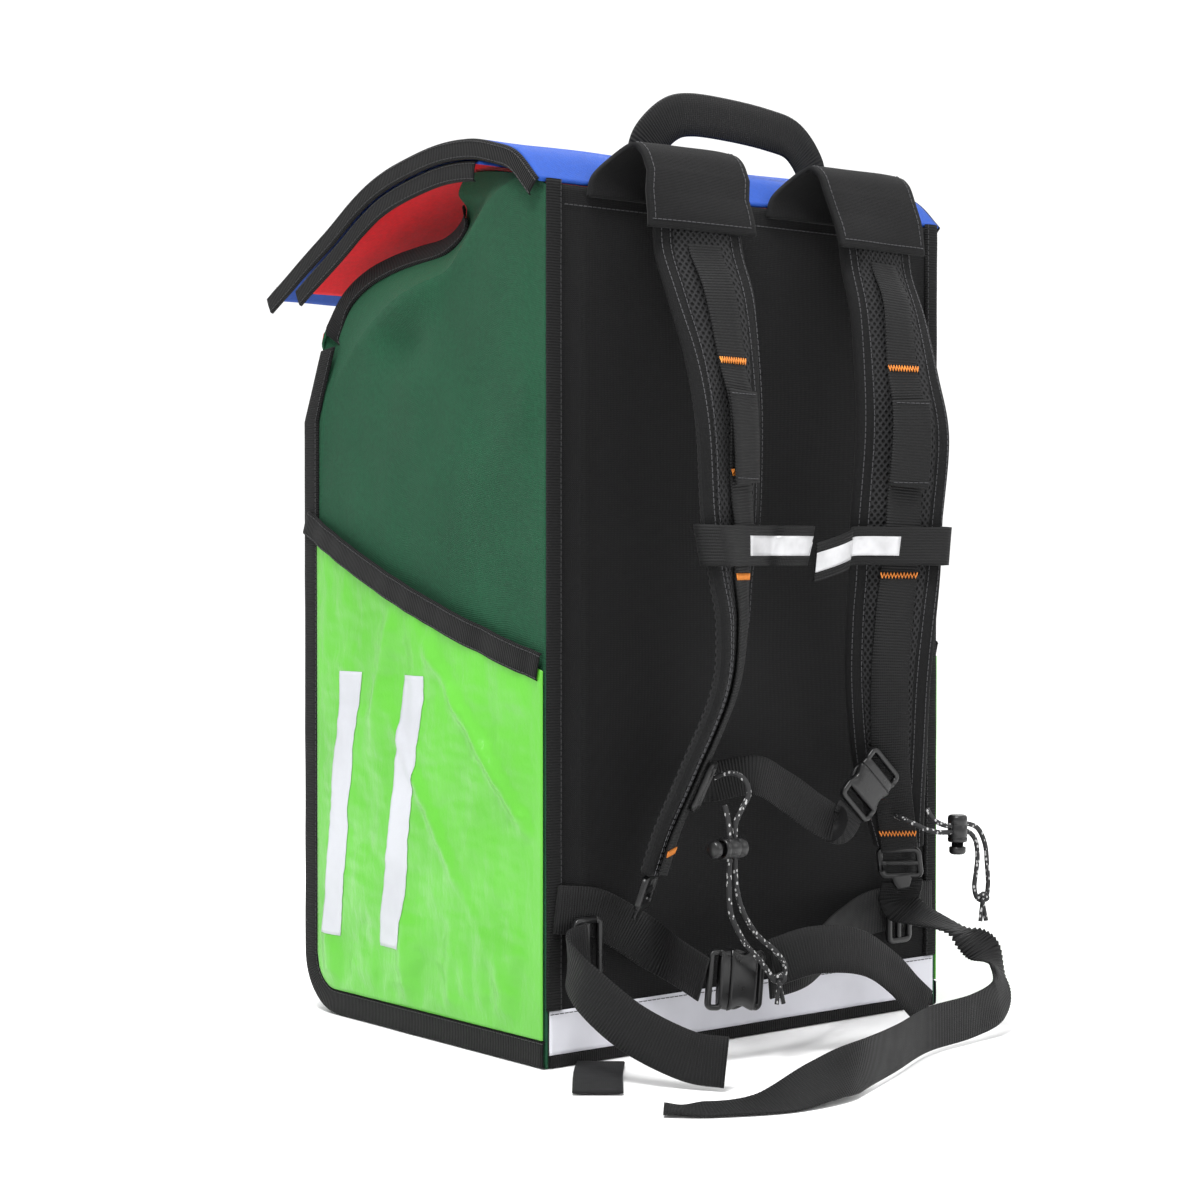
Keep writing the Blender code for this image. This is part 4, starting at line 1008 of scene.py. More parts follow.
def back_relief(x, z):
    """Height of the back panel's soft upright ridges and its slack cloth."""
    fade = min(1.0, max(0.0, (z - 0.06) / 0.03), max(0.0, (BACK_HEIGHT - 0.03 - z) / 0.03))
    away = (abs(x) - (SIDE_X - RIDGE_INSET)) / RIDGE_WIDTH
    ridge = RIDGE_HEIGHT * fade * math.exp(-away * away * 4)
    inside = ease(SIDE_X - abs(x), 0.028, 0.060) * ease(z, 0.05, 0.10) * ease(BACK_HEIGHT - z, 0.01, 0.05)
    return ridge + inside * (0.0012 * lump(x, z, 4.0, 0.09) + 0.0005 * lump(x, z, 8.0, 0.03))


def body_panels():
    """Back, bottom and front panels, the corner bindings and the white strip."""
    wide = SIDE_X - CLOTH - GAP
    top = BACK_HEIGHT - CLOTH - GAP
    grid = [
        [(x, BACK_Y - back_relief(x, z), z) for x in np.linspace(-wide, wide, 130)]
        for z in np.linspace(0, top, 130)
    ]
    back = cloth(
        "back_face", grid, "black_canvas", PADDING, (0, -1, 0), inner="red_lining", node="back_panel"
    )
    foot = [
        [(x, y, 0.0003) for x in np.linspace(-wide, wide, 30)]
        for y in np.linspace(BACK_Y + PADDING + GAP, FRONT_Y - FRONT_CORNER - GAP, 24)
    ]
    cloth("bottom_face", foot, "black_canvas", CLOTH, (0, 0, -1), held="stretched", node="bottom_panel")
    turn = np.radians(np.linspace(0, 90, 18))
    profile = [(FRONT_Y - FRONT_CORNER * (1 - math.sin(a)), FRONT_CORNER * (1 - math.cos(a))) for a in turn]
    profile += [(front_edge(z), z) for z in np.linspace(0.06, FRONT_HEIGHT, 70)]
    grid = []
    for y, z in profile:
        narrow = wide - CLOTH * 3 * ease(z, LEAN_START * 0.9, FRONT_HEIGHT)
        row = []
        for x in np.linspace(-narrow, narrow, 100):
            inside = ease(narrow - abs(x), 0.002, 0.030) * ease(z, 0.03, 0.08)
            row.append((
                x, y + inside * (0.0015 * lump(x, z, 6.0, 0.08) + 0.0006 * lump(x, z, 7.0, 0.03)), z
            ))
        grid.append(row)
    cloth(
        "front_face", grid, "green_canvas", CLOTH, (0, 1, 0), inner="red_lining", held="stretched",
        node="front_panel", slot="black_canvas"
    )
    front = BACK_Y - GAP
    strip = []
    for z in np.linspace(STRIP_BOTTOM, STRIP_BOTTOM + STRIP_HEIGHT, 12):
        strip.append([
            (x, front - 0.0007 - 0.0006 * lump(x, z, 3.0, 0.04), z)
            for x in np.linspace(-wide, wide, 120)
        ])
    cloth("white_strip", strip, "white_vinyl", 0.0007, (0, -1, 0), node="back_strip")
    hem = np.array([(x, front, STRIP_BOTTOM - GAP) for x in np.linspace(-wide, wide, 90)])
    down, outs = all_along((0, 0, -1.0), hem), all_along((0, -1.0, 0), hem)
    ribbon("foot_band", -1, hem, down, outs, STRIP_BOTTOM - GAP * 2, 0.0012, edges=())
    seam = [(x, front - 0.0012, STRIP_BOTTOM + STRIP_HEIGHT - 0.002) for x in (-wide, wide)]
    lines("strip_stitches", stitches(seam, (0, -1, 0)), THREAD, "black_thread")
    for side, name in SIDES:
        zs = np.linspace(STRIP_BOTTOM + STRIP_HEIGHT + GAP, BACK_HEIGHT, 120)
        line = np.array([(-SIDE_X + 0.0003 * lump(0.1, z, side, 0.02), front, z) for z in zs])
        inward, outs = all_along((1.0, 0, 0), line), all_along((0, -1.0, 0), line)
        ribbon(
            "corner_band_" + name, side, line, inward, outs, CORNER_BINDING, BINDING_CLOTH,
            node="back_binding_" + name
        )
    seam = [(x, BACK_Y - 0.0004, top - 0.012) for x in (-wide + 0.012, wide - 0.012)]
    lines("back_seam_stitches", stitches(seam, (0, -1, 0)), THREAD, "grey_thread")


# The lid


def swept_across(profile, shift, xs, seed, rough):
    """A grid of the profile's points (y, z), moved along its normal and swept from side to side."""
    tangent = rows_unit(np.gradient(profile, axis=0))
    normal = np.stack([-tangent[:, 1], tangent[:, 0]], 1)
    grid = []
    for (y, z), (ny, nz) in zip(profile, normal):
        row = []
        for x in xs:
            side = abs(x) / max(abs(xs[0]), 1e-6)
            lift = shift + rough * lump(x, y, seed, 0.06) * (1 - side**6)
            row.append((x, y + ny * lift, z + nz * lift))
        grid.append(row)
    return np.array(grid)


def lid():
    """The lid, the flap under it with its red underside, and their edge bindings."""
    profile = even(smooth(LID_PROFILE, 120) * (BODY_DEPTH, BACK_HEIGHT), 0.0035)
    half = SIDE_X + LID_OVERHANG - BINDING_CLOTH - GAP
    xs = np.linspace(-half, half, 110)
    grid = swept_across(profile, 0.0, xs, 1.0, 0.0016)
    cloth("lid_cloth", grid, "blue_canvas", CLOTH, (0, 0, 1), held="draped", node="lid")
    kept = profile[(profile[:, 0] > -FLAP_REACH / 2) & (profile[:, 0] < FLAP_REACH)]
    inside = half - BINDING_CLOTH
    under = swept_across(kept, -FLAP_DROP, np.linspace(-inside, inside, 90), 6.0, 0.0010)
    cloth(
        "flap_cloth", under, "blue_canvas", CLOTH, (0, 0, 1), inner="red_lining", held="draped",
        node="inner_flap", slot="red_lining"
    )
    for side, name in SIDES:
        for label, line, drop, x, node in (
            ("lid_band_", profile, 0.0, half, "lid_binding_"),
            ("flap_band_", kept[1:], FLAP_DROP, inside, "flap_binding_")
        ):
            tangent = rows_unit(np.gradient(line, axis=0))
            down = np.stack([np.zeros(len(line)), tangent[:, 1], -tangent[:, 0]], 1)
            start = np.stack([np.full(len(line), -x - GAP), line[:, 0], line[:, 1]], 1) + down * drop
            start[:, 0] -= [0.0005 * lump(p[1], p[2], side * 3.0, 0.03) for p in start]
            outs = all_along((-1.0, 0, 0), line)
            ribbon(
                label + name, side, start, down, outs, LID_BINDING, BINDING_CLOTH,
                edges=(0.0018, LID_BINDING - 0.0018), node=node + name
            )
    tip = grid[-1] + (0, 0, 0.0006)
    back = rows_unit(grid[-3] - grid[-1])
    outs = all_along(unit((0, 0.35, 0.94)), tip)
    ribbon("lid_tip_band", -1, tip, back, outs, LID_BINDING, 0.0010, edges=(0.0018,))


def handle():
    """The carrying handle: a flat band on edge, arched between its two feet on the lid."""
    profile = smooth(LID_PROFILE, 60) * (BODY_DEPTH, BACK_HEIGHT)
    y = BACK_Y + HANDLE_INSET
    foot = np.interp(y + HANDLE_CLOTH / 2, profile[:, 0], profile[:, 1]) + GAP
    line = even(smooth(HANDLE_LINE, 90) * (HANDLE_SPAN / 2, HANDLE_RISE), 0.0025)
    tangent = rows_unit(np.gradient(line, axis=0))
    tangent[0], tangent[-1] = (0.0, 1.0), (0.0, -1.0)
    rings = []
    for (x, z), (tx, tz) in zip(line, tangent):
        ring = []
        for across, depth in HANDLE_SECTION:
            shift = across * HANDLE_WEB
            cup = 0.0012 * math.cos(across * math.pi) * math.sin((x / HANDLE_SPAN + 0.5) * math.pi)
            ring.append((
                x - tz * shift, y + depth * HANDLE_CLOTH * 0.8 - cup, foot + max(0.0002, z + tx * shift)
            ))
        rings.append(ring)
    tube("handle_band", rings, "black_webbing", node="handle")


# The harness


def strap_stations(count):
    """Middle points, width directions, outward directions and half widths along the left pad."""
    rows = smooth(STRAP_PATH, count)
    middle = np.stack(
        [-rows[:, 1] * STRAP_X, BACK_Y - rows[:, 2] * STRAP_PROUD, rows[:, 0] * BACK_HEIGHT], 1
    )
    turn = np.radians(rows[:, 4])
    across = np.stack([np.cos(turn), np.sin(turn), np.zeros(len(turn))], 1)
    along = rows_unit(np.gradient(middle, axis=0))
    out = rows_unit(np.cross(along, across))
    out *= np.sign(-out[:, 1:2])
    return middle, across, out, rows[:, 3] * PAD_WIDTH / 2


def inflate(piece):
    """Swells a closed pad with Blender's cloth, moving no point further than SWELL_MOST."""
    mesh = piece.data
    before = np.empty(len(mesh.vertices) * 3)
    mesh.vertices.foreach_get("co", before)
    before = before.reshape(-1, 3)
    soft = piece.modifiers.new("swell", "CLOTH")
    soft.settings.use_pressure = True
    soft.settings.uniform_pressure_force = SWELL_PRESSURE
    soft.settings.effector_weights.gravity = 0.0
    soft.settings.quality = 5
    soft.settings.tension_stiffness = SWELL_STIFFNESS
    soft.settings.compression_stiffness = SWELL_STIFFNESS
    soft.settings.bending_stiffness = 2
    scene = bpy.context.scene
    soft.point_cache.frame_start = 1
    soft.point_cache.frame_end = SWELL_FRAMES
    for number in range(1, SWELL_FRAMES + 1):
        scene.frame_set(number)
    swollen = piece.evaluated_get(bpy.context.evaluated_depsgraph_get())
    after = np.empty(len(mesh.vertices) * 3)
    swollen.data.vertices.foreach_get("co", after)
    move = after.reshape(-1, 3) - before
    size = np.linalg.norm(move, axis=1, keepdims=True)
    move *= np.minimum(1.0, SWELL_MOST / np.maximum(size, 1e-9))
    piece.modifiers.remove(soft)
    mesh.vertices.foreach_set("co", (before + move).ravel())
    mesh.update()
    scene.frame_set(1)


def shoulder_pads():
    """Padded straps: air mesh in the middle, bound canvas along both edges."""
    middle, across, out, half = strap_stations(PAD_ROWS)
    for side, name in SIDES:
        rings = []
        for k in range(len(middle)):
            w, t = half[k], PAD_CLOTH * 0.5
            flat = max(0.002, w - PAD_RIM)
            # Outline of one section: (x, n) from the left edge over the outer face and back
            ring = [
                (-w, 0.0), (-w + 0.0008, 0.45 * t), (-w + 0.0030, 0.66 * t), (-w + 0.007, 0.72 * t),
                (-flat, 0.62 * t)
            ]
            ring += [
                (-flat + 0.0015, 0.80 * t), (-flat * 0.55, 0.93 * t), (0.0, 0.95 * t),
                (flat * 0.55, 0.93 * t), (flat - 0.0015, 0.80 * t)
            ]
            ring += [
                (flat, 0.62 * t), (w - 0.007, 0.72 * t), (w - 0.0030, 0.66 * t), (w - 0.0008, 0.45 * t),
                (w, 0.0)
            ]
            ring += [
                (w - 0.0008, -0.45 * t), (w - 0.003, -0.80 * t), (flat * 0.6, -0.92 * t), (0.0, -0.92 * t),
                (-flat * 0.6, -0.92 * t), (-w + 0.003, -0.80 * t), (-w + 0.0008, -0.45 * t)
            ]
            pucker = 0.0004 * math.sin(k * 1.9)
            rings.append([
                middle[k] + across[k] * x + out[k] * (n + (pucker if abs(abs(x) - flat) < 1e-4 else 0))
                for x, n in ring
            ])
        piece = tube(
            "pad_" + name, mirrored(rings, side), "black_mesh", materials=("black_mesh", "cap_canvas"),
            node="strap_pad_" + name
        )
        size = len(rings[0])
        for n, face in enumerate(piece.data.polygons):
            column = (n - 2) % size
            if n < 2 or column < 4 or 10 <= column < 15:
                face.material_index = 1
        inflate(piece)
        dashes = []
        for way in (-1, 1):
            for inset in (0.0035, PAD_RIM - 0.0015):
                lift = PAD_CLOTH * 0.40
                line = middle + across * (half - inset)[:, None] * way + out * lift
                dashes += stitches_on(mirrored(line, side), mirrored(out, side))
        lines("pad_stitches_" + name, dashes, THREAD, "grey_thread")


def strap_caps():
    """Canvas caps that rise from the top seam and turn down over the pads."""
    middle, across, out, _ = strap_stations(PAD_ROWS)
    face = PAD_CLOTH / 2 + GAP + CAP_CLOTH / 2
    shares = np.linspace(-1, 1, 41)
    last = int(round(PAD_ROWS * 3 / 26))
    for side, name in SIDES:
        arch = smooth(CAP_ARCH, 40)
        sheet, ways = [], []
        points = np.stack(
            [np.full(len(arch), -STRAP_X), BACK_Y - arch[:, 0] * STRAP_PROUD, arch[:, 1] * BACK_HEIGHT], 1
        )
        ahead = rows_unit(np.gradient(points, axis=0))
        for k, (_, _, grow) in enumerate(arch):
            width = (CAP_ROOT + (CAP_WIDTH - CAP_ROOT) * min(1.0, grow)) / 2
            sheet.append([points[k] + (width * s, 0, 0) for s in shares])
            ways.append(np.array([0, ahead[k, 2], -ahead[k, 1]]))
        for k in range(1, last + 1):
            sheet.append([middle[k] + across[k] * (CAP_WIDTH / 2 * s) + out[k] * face for s in shares])
            ways.append(out[k])
        grid, ways = np.array(sheet), np.array(ways)
        v = np.linspace(0, 1, len(grid))[:, None]
        puff = 0.0010 * (1 - shares[None, :] ** 6) * (1 - (2 * v - 1) ** 8)
        rough = np.array([[0.0007 * lump(p[0], p[2], side * 1.7, 0.03) for p in row] for row in grid])
        grid = grid + ways[:, None, :] * (CAP_CLOTH / 2 + puff + rough)[:, :, None]
        cloth(
            "cap_" + name, mirrored(grid, side), "cap_canvas", CAP_CLOTH, (0, -0.5, 0.5),
            node="strap_cap_" + name
        )
        dashes = []
        steps = 1 - CAP_SEAM / (CAP_WIDTH / 2)
        for s in (-steps, steps):
            j = int(round((s + 1) / 2 * 40))
            dashes += stitches_on(mirrored(grid[14:-2, j], side), mirrored(ways[14:-2], side))
        dashes += stitches_on(mirrored(grid[-3, 1:-1], side), mirrored(np.tile(ways[-3], (39, 1)), side))
        lines("cap_stitches_" + name, dashes, THREAD, "grey_thread")


def bartack(middle, across, along, out, width):
    """A dense zigzag of thread across a band."""
    count = int(width / 0.0011)
    run = []
    for k in range(count + 1):
        x = -width / 2 + width * k / count
        run.append(middle + across * x + along * (TACK / 2 if k % 2 else -TACK / 2) + out * TACK_THREAD)
    return run


def strap_webbing():
    """Webbing down the middle of each pad, stitched at its bartacks and slack between them."""
    middle, across, out, _ = strap_stations(WEB_ROWS)
    along = rows_unit(np.gradient(middle, axis=0))
    lift = PAD_CLOTH / 2 + GAP
    start = int(WEB_ROWS * 4 / 26)
    for side, name in SIDES:
        places = [int(np.argmin(abs(middle[:, 2] - z))) for z in TACK_HEIGHTS[name]]
        heights = np.full(WEB_ROWS, lift + WEB_CLOTH / 2)
        for first, last in zip([start] + places, places):
            if last - first > 4:
                span = np.arange(first, last + 1)
                heights[span] += 0.0026 * np.sin((span - first) / (last - first) * math.pi) ** 2
        rings = band_rings(
            middle[start:] + out[start:] * heights[start:, None], along[start:], across[start:], WEB_CLOTH,
            WEB
        )
        tube("strap_web_" + name, mirrored(rings, side), "black_webbing", node="strap_webbing_" + name)
        tacks = []
        for k in places + [int(np.argmin(abs(middle[:, 2] - LOW_TACK[name])))]:
            point = middle[k] + out[k] * (heights[k] + WEB_CLOTH / 2)
            for shift in (-0.0004, 0.0004):
                tacks.append(bartack(point + along[k] * shift, across[k], along[k], out[k], WEB * 0.98))
        lines("bartacks_" + name, [mirrored(run, side) for run in tacks], TACK_THREAD, "orange_thread")
        k = int(np.argmin(abs(middle[:, 2] - KEEPER_HEIGHT)))
        rows = range(k - 10, k + 11)
        top = lift + WEB_CLOTH * 2 + GAP * 2 + 0.0018
        loop = np.array([middle[i] + out[i] * top for i in rows])
        rings = band_rings(loop, along[list(rows)], across[list(rows)], WEB_CLOTH, KEEPER)
        tube("keeper_band_" + name, mirrored(rings, side), "black_webbing", node="keeper_" + name)
        dashes = []
        for i in (k - 9, k + 9):
            end = middle[i] + out[i] * (top + WEB_CLOTH / 2)
            dashes += stitches([end + across[i] * KEEPER * n for n in (-0.46, 0.46)], out[i])
        lines("keeper_stitches_" + name, [mirrored(run, side) for run in dashes], THREAD, "grey_thread")


def sternum_bands():
    """Bands round the pads with loose ends towards the middle and reflective tapes on them."""
    middle, across, out, half = strap_stations(CAD_ROWS)
    lift = PAD_CLOTH / 2 + GAP * 3 + WEB_CLOTH
    behind = PAD_CLOTH / 2 + GAP * 4 + WEB_CLOTH
    for side, name in SIDES:
        fall = 0.0 if side < 0 else 0.30
        edges = []
        for i, up in ((13, 0.5), (15, -0.5)):
            w = half[i] + GAP * 2
            path = [
                middle[i] + across[i] * x + out[i] * n
                for x, n in (
                    (-w * 0.1, -behind), (-w * 0.8, -behind), (-w - 0.001, -behind * 0.5),
                    (-w - 0.001, lift * 0.6), (-w * 0.85, lift + GAP * 5), (-w * 0.1, lift + GAP * 5),
                    (w, lift + GAP * 5)
                )
            ]
            end = path[-1]
            for share in (0.25, 0.5, 0.75, 1.0):
                path.append(
                    end + np.array([
                        BAND_LOOSE * share, -0.004 * math.sin(share * math.pi), -fall * BAND_LOOSE * share
                    ])
                )
            path = np.array(path)
            height = (middle[13, 2] + middle[15, 2]) / 2 + up * BAND
            path[:, 2] += height - middle[i, 2]
            edges.append(smooth(path, 90))
        top, low = edges
        grid = np.array([top + (low - top) * s for s in np.linspace(0, 1, 9)])
        step = np.gradient(grid, axis=1)
        normal = rows_unit(np.stack([step[..., 1], -step[..., 0], np.zeros(step.shape[:2])], -1))
        cloth(
            "band_" + name, mirrored(grid + normal * WEB_CLOTH, side), "black_webbing", WEB_CLOTH,
            mirrored(normal[:, 60:].reshape(-1, 3).mean(0), side), node="sternum_band_" + name
        )
        first = 46
        centre, wide = (top + low)[first:] / 2, (low - top)[first:] * (TAPE / BAND)
        tape = np.array([centre + wide * s for s in np.linspace(-0.5, 0.5, 7)])
        tape += normal[:7, first:] * (WEB_CLOTH + GAP)
        tape[:, -1] += (tape[:, -2] - tape[:, -1]) * 0.3
        if side < 0:
            lean = np.linspace(0, 1, 7)[:, None]
            tape[:, -1] = tape[:, -1] - (tape[:, -1] - tape[:, -4]) * lean * 0.8
        cloth(
            "tape_" + name, mirrored(tape, side), "reflective_tape", 0.0006,
            mirrored(normal[:, 60:].reshape(-1, 3).mean(0), side), node="reflective_tape_" + name
        )


# Hardware


def strap_end(side):
    middle, across, out, _ = strap_stations(CAD_ROWS)
    flip = np.array([-side, 1.0, 1.0])
    down = unit(middle[-1] - middle[-2])
    origin = middle[-1] + down * (FRAME_REACH + GAP * 2)
    return origin * flip, across[-1] * flip, down * flip, out[-1] * flip


def strap_face(side, height, shift):
    middle, across, out, _ = strap_stations(CAD_ROWS)
    i = int(np.argmin(abs(middle[:, 2] - height * BACK_HEIGHT)))
    flip = np.array([-side, 1.0, 1.0])
    lift = PAD_CLOTH / 2 + GAP + WEB_CLOTH
    point = middle[i] + across[i] * shift + out[i] * lift
    return point * flip, across[i] * flip, unit(middle[i + 1] - middle[i - 1]) * flip, out[i] * flip


def bar(name, rows, place, node=None):
    """A rounded bar through rows of x, y, z, width and thickness in a plate's own coordinates."""
    rings = []
    rows = np.asarray(rows, float)
    points = np.array([place(tuple(r[:3])) for r in rows])
    ways = rows_unit(np.gradient(points, axis=0))
    normal = unit(np.asarray(place((0, 0, 1))) - np.asarray(place((0, 0, 0))))
    for point, way, row in zip(points, ways, rows):
        across = unit(np.cross(normal, way))
        up = unit(np.cross(way, across))
        ring = []
        for turn in np.linspace(0, 2 * math.pi, 17)[:-1]:
            c, s = math.cos(turn), math.sin(turn)
            a = math.copysign(abs(c) ** 0.6, c) * row[3] / 2
            b = math.copysign(abs(s) ** 0.6, s) * row[4] / 2
            ring.append(point + across * a + up * b)
        rings.append(ring)
    return tube(name, rings, "black_plastic", node=node)


def rounded_loop(half, tall, corner):
    """Points of a rounded rectangle, closed by repeating the first."""
    points = []
    for cx, cy, first in (
        (half - corner, tall - corner, 0), (corner - half, tall - corner, 90),
        (corner - half, corner - tall, 180), (half - corner, corner - tall, 270)
    ):
        for turn in np.radians(np.linspace(first, first + 90, 9)):
            points.append((cx + corner * math.cos(turn), cy + corner * math.sin(turn)))
    return points + points[:1]


def slide_frame(name, place, width, node, grip=0.0):
    """A moulded webbing frame: a rounded rim, a ribbed middle bar and a grip edge."""
    half, reach = width / 2 + FRAME_BAR / 2, FRAME_REACH - FRAME_BAR / 2
    rim = [(x, y, 0.0, FRAME_BAR, FRAME_THICK) for x, y in rounded_loop(half, reach, 0.0035)]
    bar(name + "_rim", rim, place, node=node)
    ends = [(x, 0, 0.0003, FRAME_BAR * 0.95, FRAME_THICK * 0.8) for x in np.linspace(-half, half, 14)]
    bar(name + "_bar", ends, place)
    teeth = [
        [
            (x, s * 0.0009, FRAME_THICK * 0.42, 0.0007, 0.0008)
            for x in np.linspace(-width * 0.42, width * 0.42, 8)
        ]
        for s in (-1, 1)
    ]
    for number, row in enumerate(teeth):
        bar("%s_rib_%d" % (name, number), row, place)
    if grip:
        tab = [
            (0, reach + y, 0.0006 + y * 0.2, width * 0.62 * (1 - (y / grip) ** 2 * 0.5), FRAME_THICK * 0.8)
            for y in np.linspace(-0.001, grip, 8)
        ]
        bar(name + "_grip", tab, place)


def side_buckle(name, place, width, socket, prongs):
    """A fastened side-release buckle: a bowed shell, and a half whose prongs show at the sides."""
    half = width / 2 + FRAME_BAR
    length = width * 0.8
    shell = []
    for s in np.linspace(0, 1, 12):
        y = GAP / 2 + s * length * 0.82
        waist = 1 - 0.16 * math.sin(s * math.pi) ** 2
        shell.append((0, y, 0, 2 * half * waist, FRAME_THICK * (1.75 - 0.35 * s)))
    bar(name + "_shell", shell, place, node=socket)
    reach = BUCKLE_REACH - FRAME_BAR / 2
    tail = length * 0.80 + FRAME_SLOT / 2
    loop = [
        (x, y + tail, 0.0, FRAME_BAR * 0.9, FRAME_THICK)
        for x, y in rounded_loop(half - FRAME_BAR / 2, reach - tail + 0.001, 0.003)
    ]
    bar(name + "_loop", loop, place)
    for s in (-1, 1):
        arm = [
            (
                s * (half - 0.0035 + 0.0016 * math.sin(t * math.pi)), GAP + t * length * 0.5,
                FRAME_THICK * 0.62, 0.0030, 0.0022
            )
            for t in np.linspace(0, 1, 10)
        ]
        bar("%s_arm_%s" % (name, "a" if s < 0 else "b"), arm, place)
    rib = [
        (x, length * 0.62, FRAME_THICK * 0.66, 0.0010, 0.0010)
        for x in np.linspace(-half * 0.5, half * 0.5, 8)
    ]
    bar(name + "_rib", rib, place)
    root = [
        (0, -t * length * 0.30, 0, 2 * half * (0.98 - 0.05 * t), FRAME_THICK * 1.35)
        for t in np.linspace(0.03, 1, 6)
    ]
    bar(name + "_root", root, place, node=prongs)
    middle = -length * 0.30 - FRAME_SLOT / 2
    loop = [
        (x, y + middle, 0.0, FRAME_BAR * 0.9, FRAME_THICK)
        for x, y in rounded_loop(half - FRAME_BAR / 2, FRAME_SLOT / 2 + FRAME_BAR / 2, 0.003)
    ]
    bar(name + "_tail", loop, place)


def hardware():
    """Frames and buckles on the straps and the hip belt."""
    for side, name in SIDES:
        origin, across, down, _ = strap_end(side)
        slide_frame(
            "ladder_" + name, frame_at(origin, across, down), WEB * 0.9, "ladder_lock_" + name, grip=0.009
        )
    point, across, down, out = strap_face(-1, GLIDE_HEIGHT, GLIDE_SHIFT)
    slide_frame(
        "chest_glide", frame_at(point + out * (GAP * 2 + FRAME_THICK / 2), down, across), WEB,
        "sternum_glide"
    )
    place = frame_at(body_point(*STERNUM_BUCKLE), BUCKLE_ACROSS, BUCKLE_ALONG)
    side_buckle("chest_buckle", place, WEB, "sternum_buckle_socket", "sternum_buckle_prongs")
    slide_frame(
        "belt_glide_left", frame_at(body_point(-0.425, -0.5320, 0.134), (0, 0, 1), (1, 0, 0)), HIP_WEB,
        "hip_glide_left"
    )
    slide_frame(
        "belt_glide_right", frame_at(body_point(0.370, -0.5330, 0.125), (0, 0, 1), (1, 0, 0)), HIP_WEB,
        "hip_glide_right"
    )
    place = frame_at(body_point(-0.205, -0.7000, 0.094), (0.1, 0, 1), (1, -0.1, -0.1))
    side_buckle("belt_buckle", place, HIP_WEB, "hip_buckle_socket", "hip_buckle_prongs")


def loose_webbing():
    """The hip belt, its tails, the sternum webbing and the long webbing on the floor."""
    for name, route, node in (
        ("belt_left", HIP_LEFT_ROUTE, "hip_webbing_left"),
        ("belt_right", HIP_RIGHT_ROUTE, "hip_webbing_right"),
        ("tail_left", TAIL_LEFT_ROUTE, "hip_tail_left"), ("tail_right", TAIL_RIGHT_ROUTE, "hip_tail_right"),
        ("short_end", END_ROUTE, "webbing_end")
    ):
        webbing(name, on_body(route), HIP_WEB, node)
    origin, across, down, _ = strap_end(1)
    start = [(*(origin + down * (FRAME_REACH + GAP * 5 + step)), *across) for step in (0.0, 0.020)]
    webbing("floor_web", np.vstack([start, on_body(FLOOR_ROUTE)]), HIP_WEB * 0.95, "floor_webbing")
    point, across, down, out = strap_face(-1, GLIDE_HEIGHT, GLIDE_SHIFT)
    point = point + out * (GAP * 2 + FRAME_THICK / 2)
    start = [(*(point + across * (FRAME_REACH + GAP * 3 + step)), *down) for step in (0.0, 0.012)]
    route = on_body(STERNUM_ROUTE) * (1, 1, 1, -1, -1, -1)
    far, way = body_point(*STERNUM_BUCKLE), unit(BUCKLE_ALONG)
    ends = [
        (*(far + way * (BUCKLE_REACH + GAP * 7 + step)), *-unit(BUCKLE_ACROSS))
        for step in (0.012, 0.0)
    ]
    webbing("chest_web", np.vstack([start, route, ends]), WEB, "sternum_webbing")


# Cords


def lathe(name, outline, place, body, node):
    """A turned piece from (radius, along) rows."""
    rings = []
    for radius, along in outline:
        turns = np.linspace(0, 2 * math.pi, 41)[:-1]
        rings.append([place((radius * math.cos(a), radius * math.sin(a), along)) for a in turns])
    return tube(name, rings, "black_plastic", body=body, node=node)


def cord_lock(name, place):
    """A cord lock: a ribbed barrel with a domed push button."""
    r, back, mouth = LOCK_RADIUS, -LOCK_LENGTH / 2, LOCK_LENGTH / 2
    outline = [
        (0.0002, back), (r * 0.70, back), (r * 0.90, back + 0.0006), (r, back + 0.0018), (r, back + 0.0060)
    ]
    outline += [
        (r * 0.955, back + 0.0064), (r * 0.955, back + 0.0070), (r, back + 0.0074), (r, mouth - 0.0040)
    ]
    outline += [
        (r * 0.955, mouth - 0.0036), (r * 0.955, mouth - 0.0030), (r, mouth - 0.0026), (r, mouth - 0.0008),
        (r * 0.93, mouth), (r * 0.72, mouth), (r * 0.70, mouth - 0.0010), (r * 0.70, mouth - 0.0045),
        (0.0002, mouth - 0.0045)
    ]
    barrel = lathe(name + "_body", outline, place, "bag", name + "_barrel")
    top = mouth + BUTTON_TRAVEL + GAP
    head = r * 0.85
    outline = [
        (0.0002, mouth - 0.0008), (r * 0.60, mouth - 0.0008), (r * 0.60, top), (head * 0.96, top),
        (head, top + 0.0006), (head, top + 0.0030)
    ]
    outline += [(head * 0.92, top + 0.0042), (head * 0.70, top + 0.0049), (0.0002, top + 0.0051)]
    side = name.split("_")[1]
    button = lathe(name + "_cap", outline, place, side + "_button", name + "_button")
    return barrel, button


def knot(name, middle, size):
    """An overhand knot: a small trefoil of the cord, with two short tails."""
    points = []
    for t in np.linspace(0, 2 * math.pi, 60):
        x = math.sin(t) + 2 * math.sin(2 * t)
        z = math.cos(t) - 2 * math.cos(2 * t)
        points.append(np.asarray(middle) + np.array([x * 0.30, -math.sin(3 * t) * 0.30, z * 0.34]) * size)
    runs = [points]
    for lean in (-0.5, 0.45):
        runs.append([
            np.asarray(middle) + np.array([lean * s * 0.006, 0.0005 - 0.001 * s, -0.002 - s * 0.013])
            for s in np.linspace(0, 1, 8)
        ])
    return lines(name, runs, CORD * 0.46, "elastic_cord")


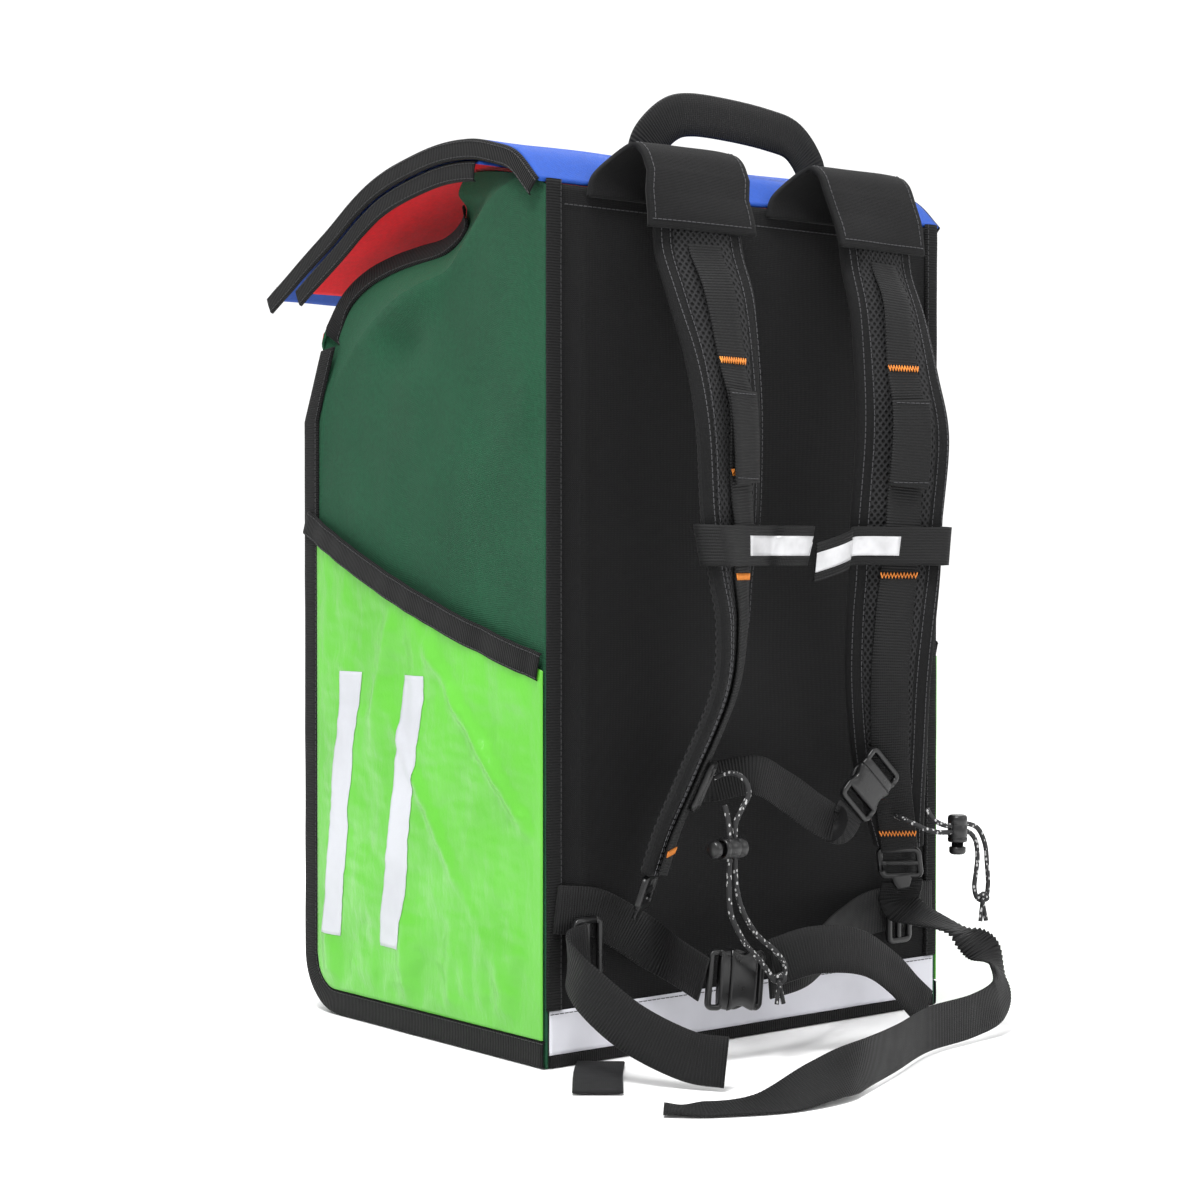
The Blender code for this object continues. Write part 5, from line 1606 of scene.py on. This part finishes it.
def cords():
    """Elastic cords through their locks, knotted at their lower ends."""
    locks = {
        "left": cord_lock("lock_left", frame_at(LOCK_LEFT, (0, 0, 1), (0, 1, 0))),
        "right": cord_lock("lock_right", frame_at(LOCK_RIGHT, (1, 0, 0), (0, -1, 0))),
    }
    turns = {"left": (-0.0420, -0.2050, 0.0500), "right": (0.1468, -0.2020, 0.0835)}
    for side, route in (("left", CORD_LEFT_POINTS), ("right", CORD_RIGHT_POINTS)):
        points = smooth(route, 170)
        piece = lines("elastic_" + side, [points], CORD / 2, "elastic_cord", 4, node="cord_" + side)
        tie = knot("knot_" + side, turns[side], 0.0042)
        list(locks[side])


# Stage


def stage_and_light():
    """A white seamless ground, soft light and the camera at the photo's place."""
    bpy.context.scene.view_settings.view_transform = "Standard"
    steps = [(-6.0, 0.0)] + [
        (3.0 + 1.5 * math.sin(a), 1.5 - 1.5 * math.cos(a))
        for a in np.radians(np.linspace(0, 90, 24))
    ] + [(4.5, 5.0)]
    turn = math.radians(CAMERA_TURN)
    away, right = np.array([math.sin(turn), math.cos(turn), 0]), np.array([
        math.cos(turn), -math.sin(turn), 0
    ])
    points, faces = [], []
    for ahead, up in steps:
        for s in (-8.0, 8.0):
            points.append(away * ahead + right * s + (0, 0, up - 0.0004))
    for k in range(len(steps) - 1):
        faces.append((2 * k, 2 * k + 1, 2 * k + 3, 2 * k + 2))
    mesh = bpy.data.meshes.new("ground")
    mesh.from_pydata([tuple(p) for p in points], [], faces)
    mesh.polygons.foreach_set("use_smooth", [True] * len(mesh.polygons))
    ground = bpy.data.objects.new("ground", mesh)
    pale = Shader("pale_ground", 0.9, specular=0.1)
    pale.surface.inputs["Base Color"].default_value = (0.97, 0.97, 0.97, 1)
    mesh.materials.append(pale.material)
    bpy.context.scene.collection.objects.link(ground)
    world = bpy.data.worlds.new("studio")
    bpy.context.scene.world = world
    world.use_nodes = True
    world.node_tree.nodes["Background"].inputs["Color"].default_value = (1, 1, 1, 1)
    world.node_tree.nodes["Background"].inputs["Strength"].default_value = WORLD_LIGHT
    for name, place, size, power in LIGHTS:
        data = bpy.data.lights.new(name, "AREA")
        data.size = size
        data.energy = power
        lamp = bpy.data.objects.new(name, data)
        lamp.location = place
        lamp.rotation_euler = (Vector((0, 0, 0.28)) - Vector(place)).to_track_quat("-Z", "Y").to_euler()
        bpy.context.scene.collection.objects.link(lamp)
    camera_data = bpy.data.cameras.new("photo_camera")
    camera_data.lens = CAMERA_LENS
    camera = bpy.data.objects.new("photo_camera", camera_data)
    camera.location = CAMERA_AT
    camera.rotation_euler = (math.radians(90 - CAMERA_PITCH), 0, -turn)
    bpy.context.scene.collection.objects.link(camera)
    bpy.context.scene.camera = camera


stage_and_light()
cords()
side_panels()
side_pockets()
body_panels()
lid()
handle()
shoulder_pads()
strap_caps()
strap_webbing()
sternum_bands()
hardware()
loose_webbing()
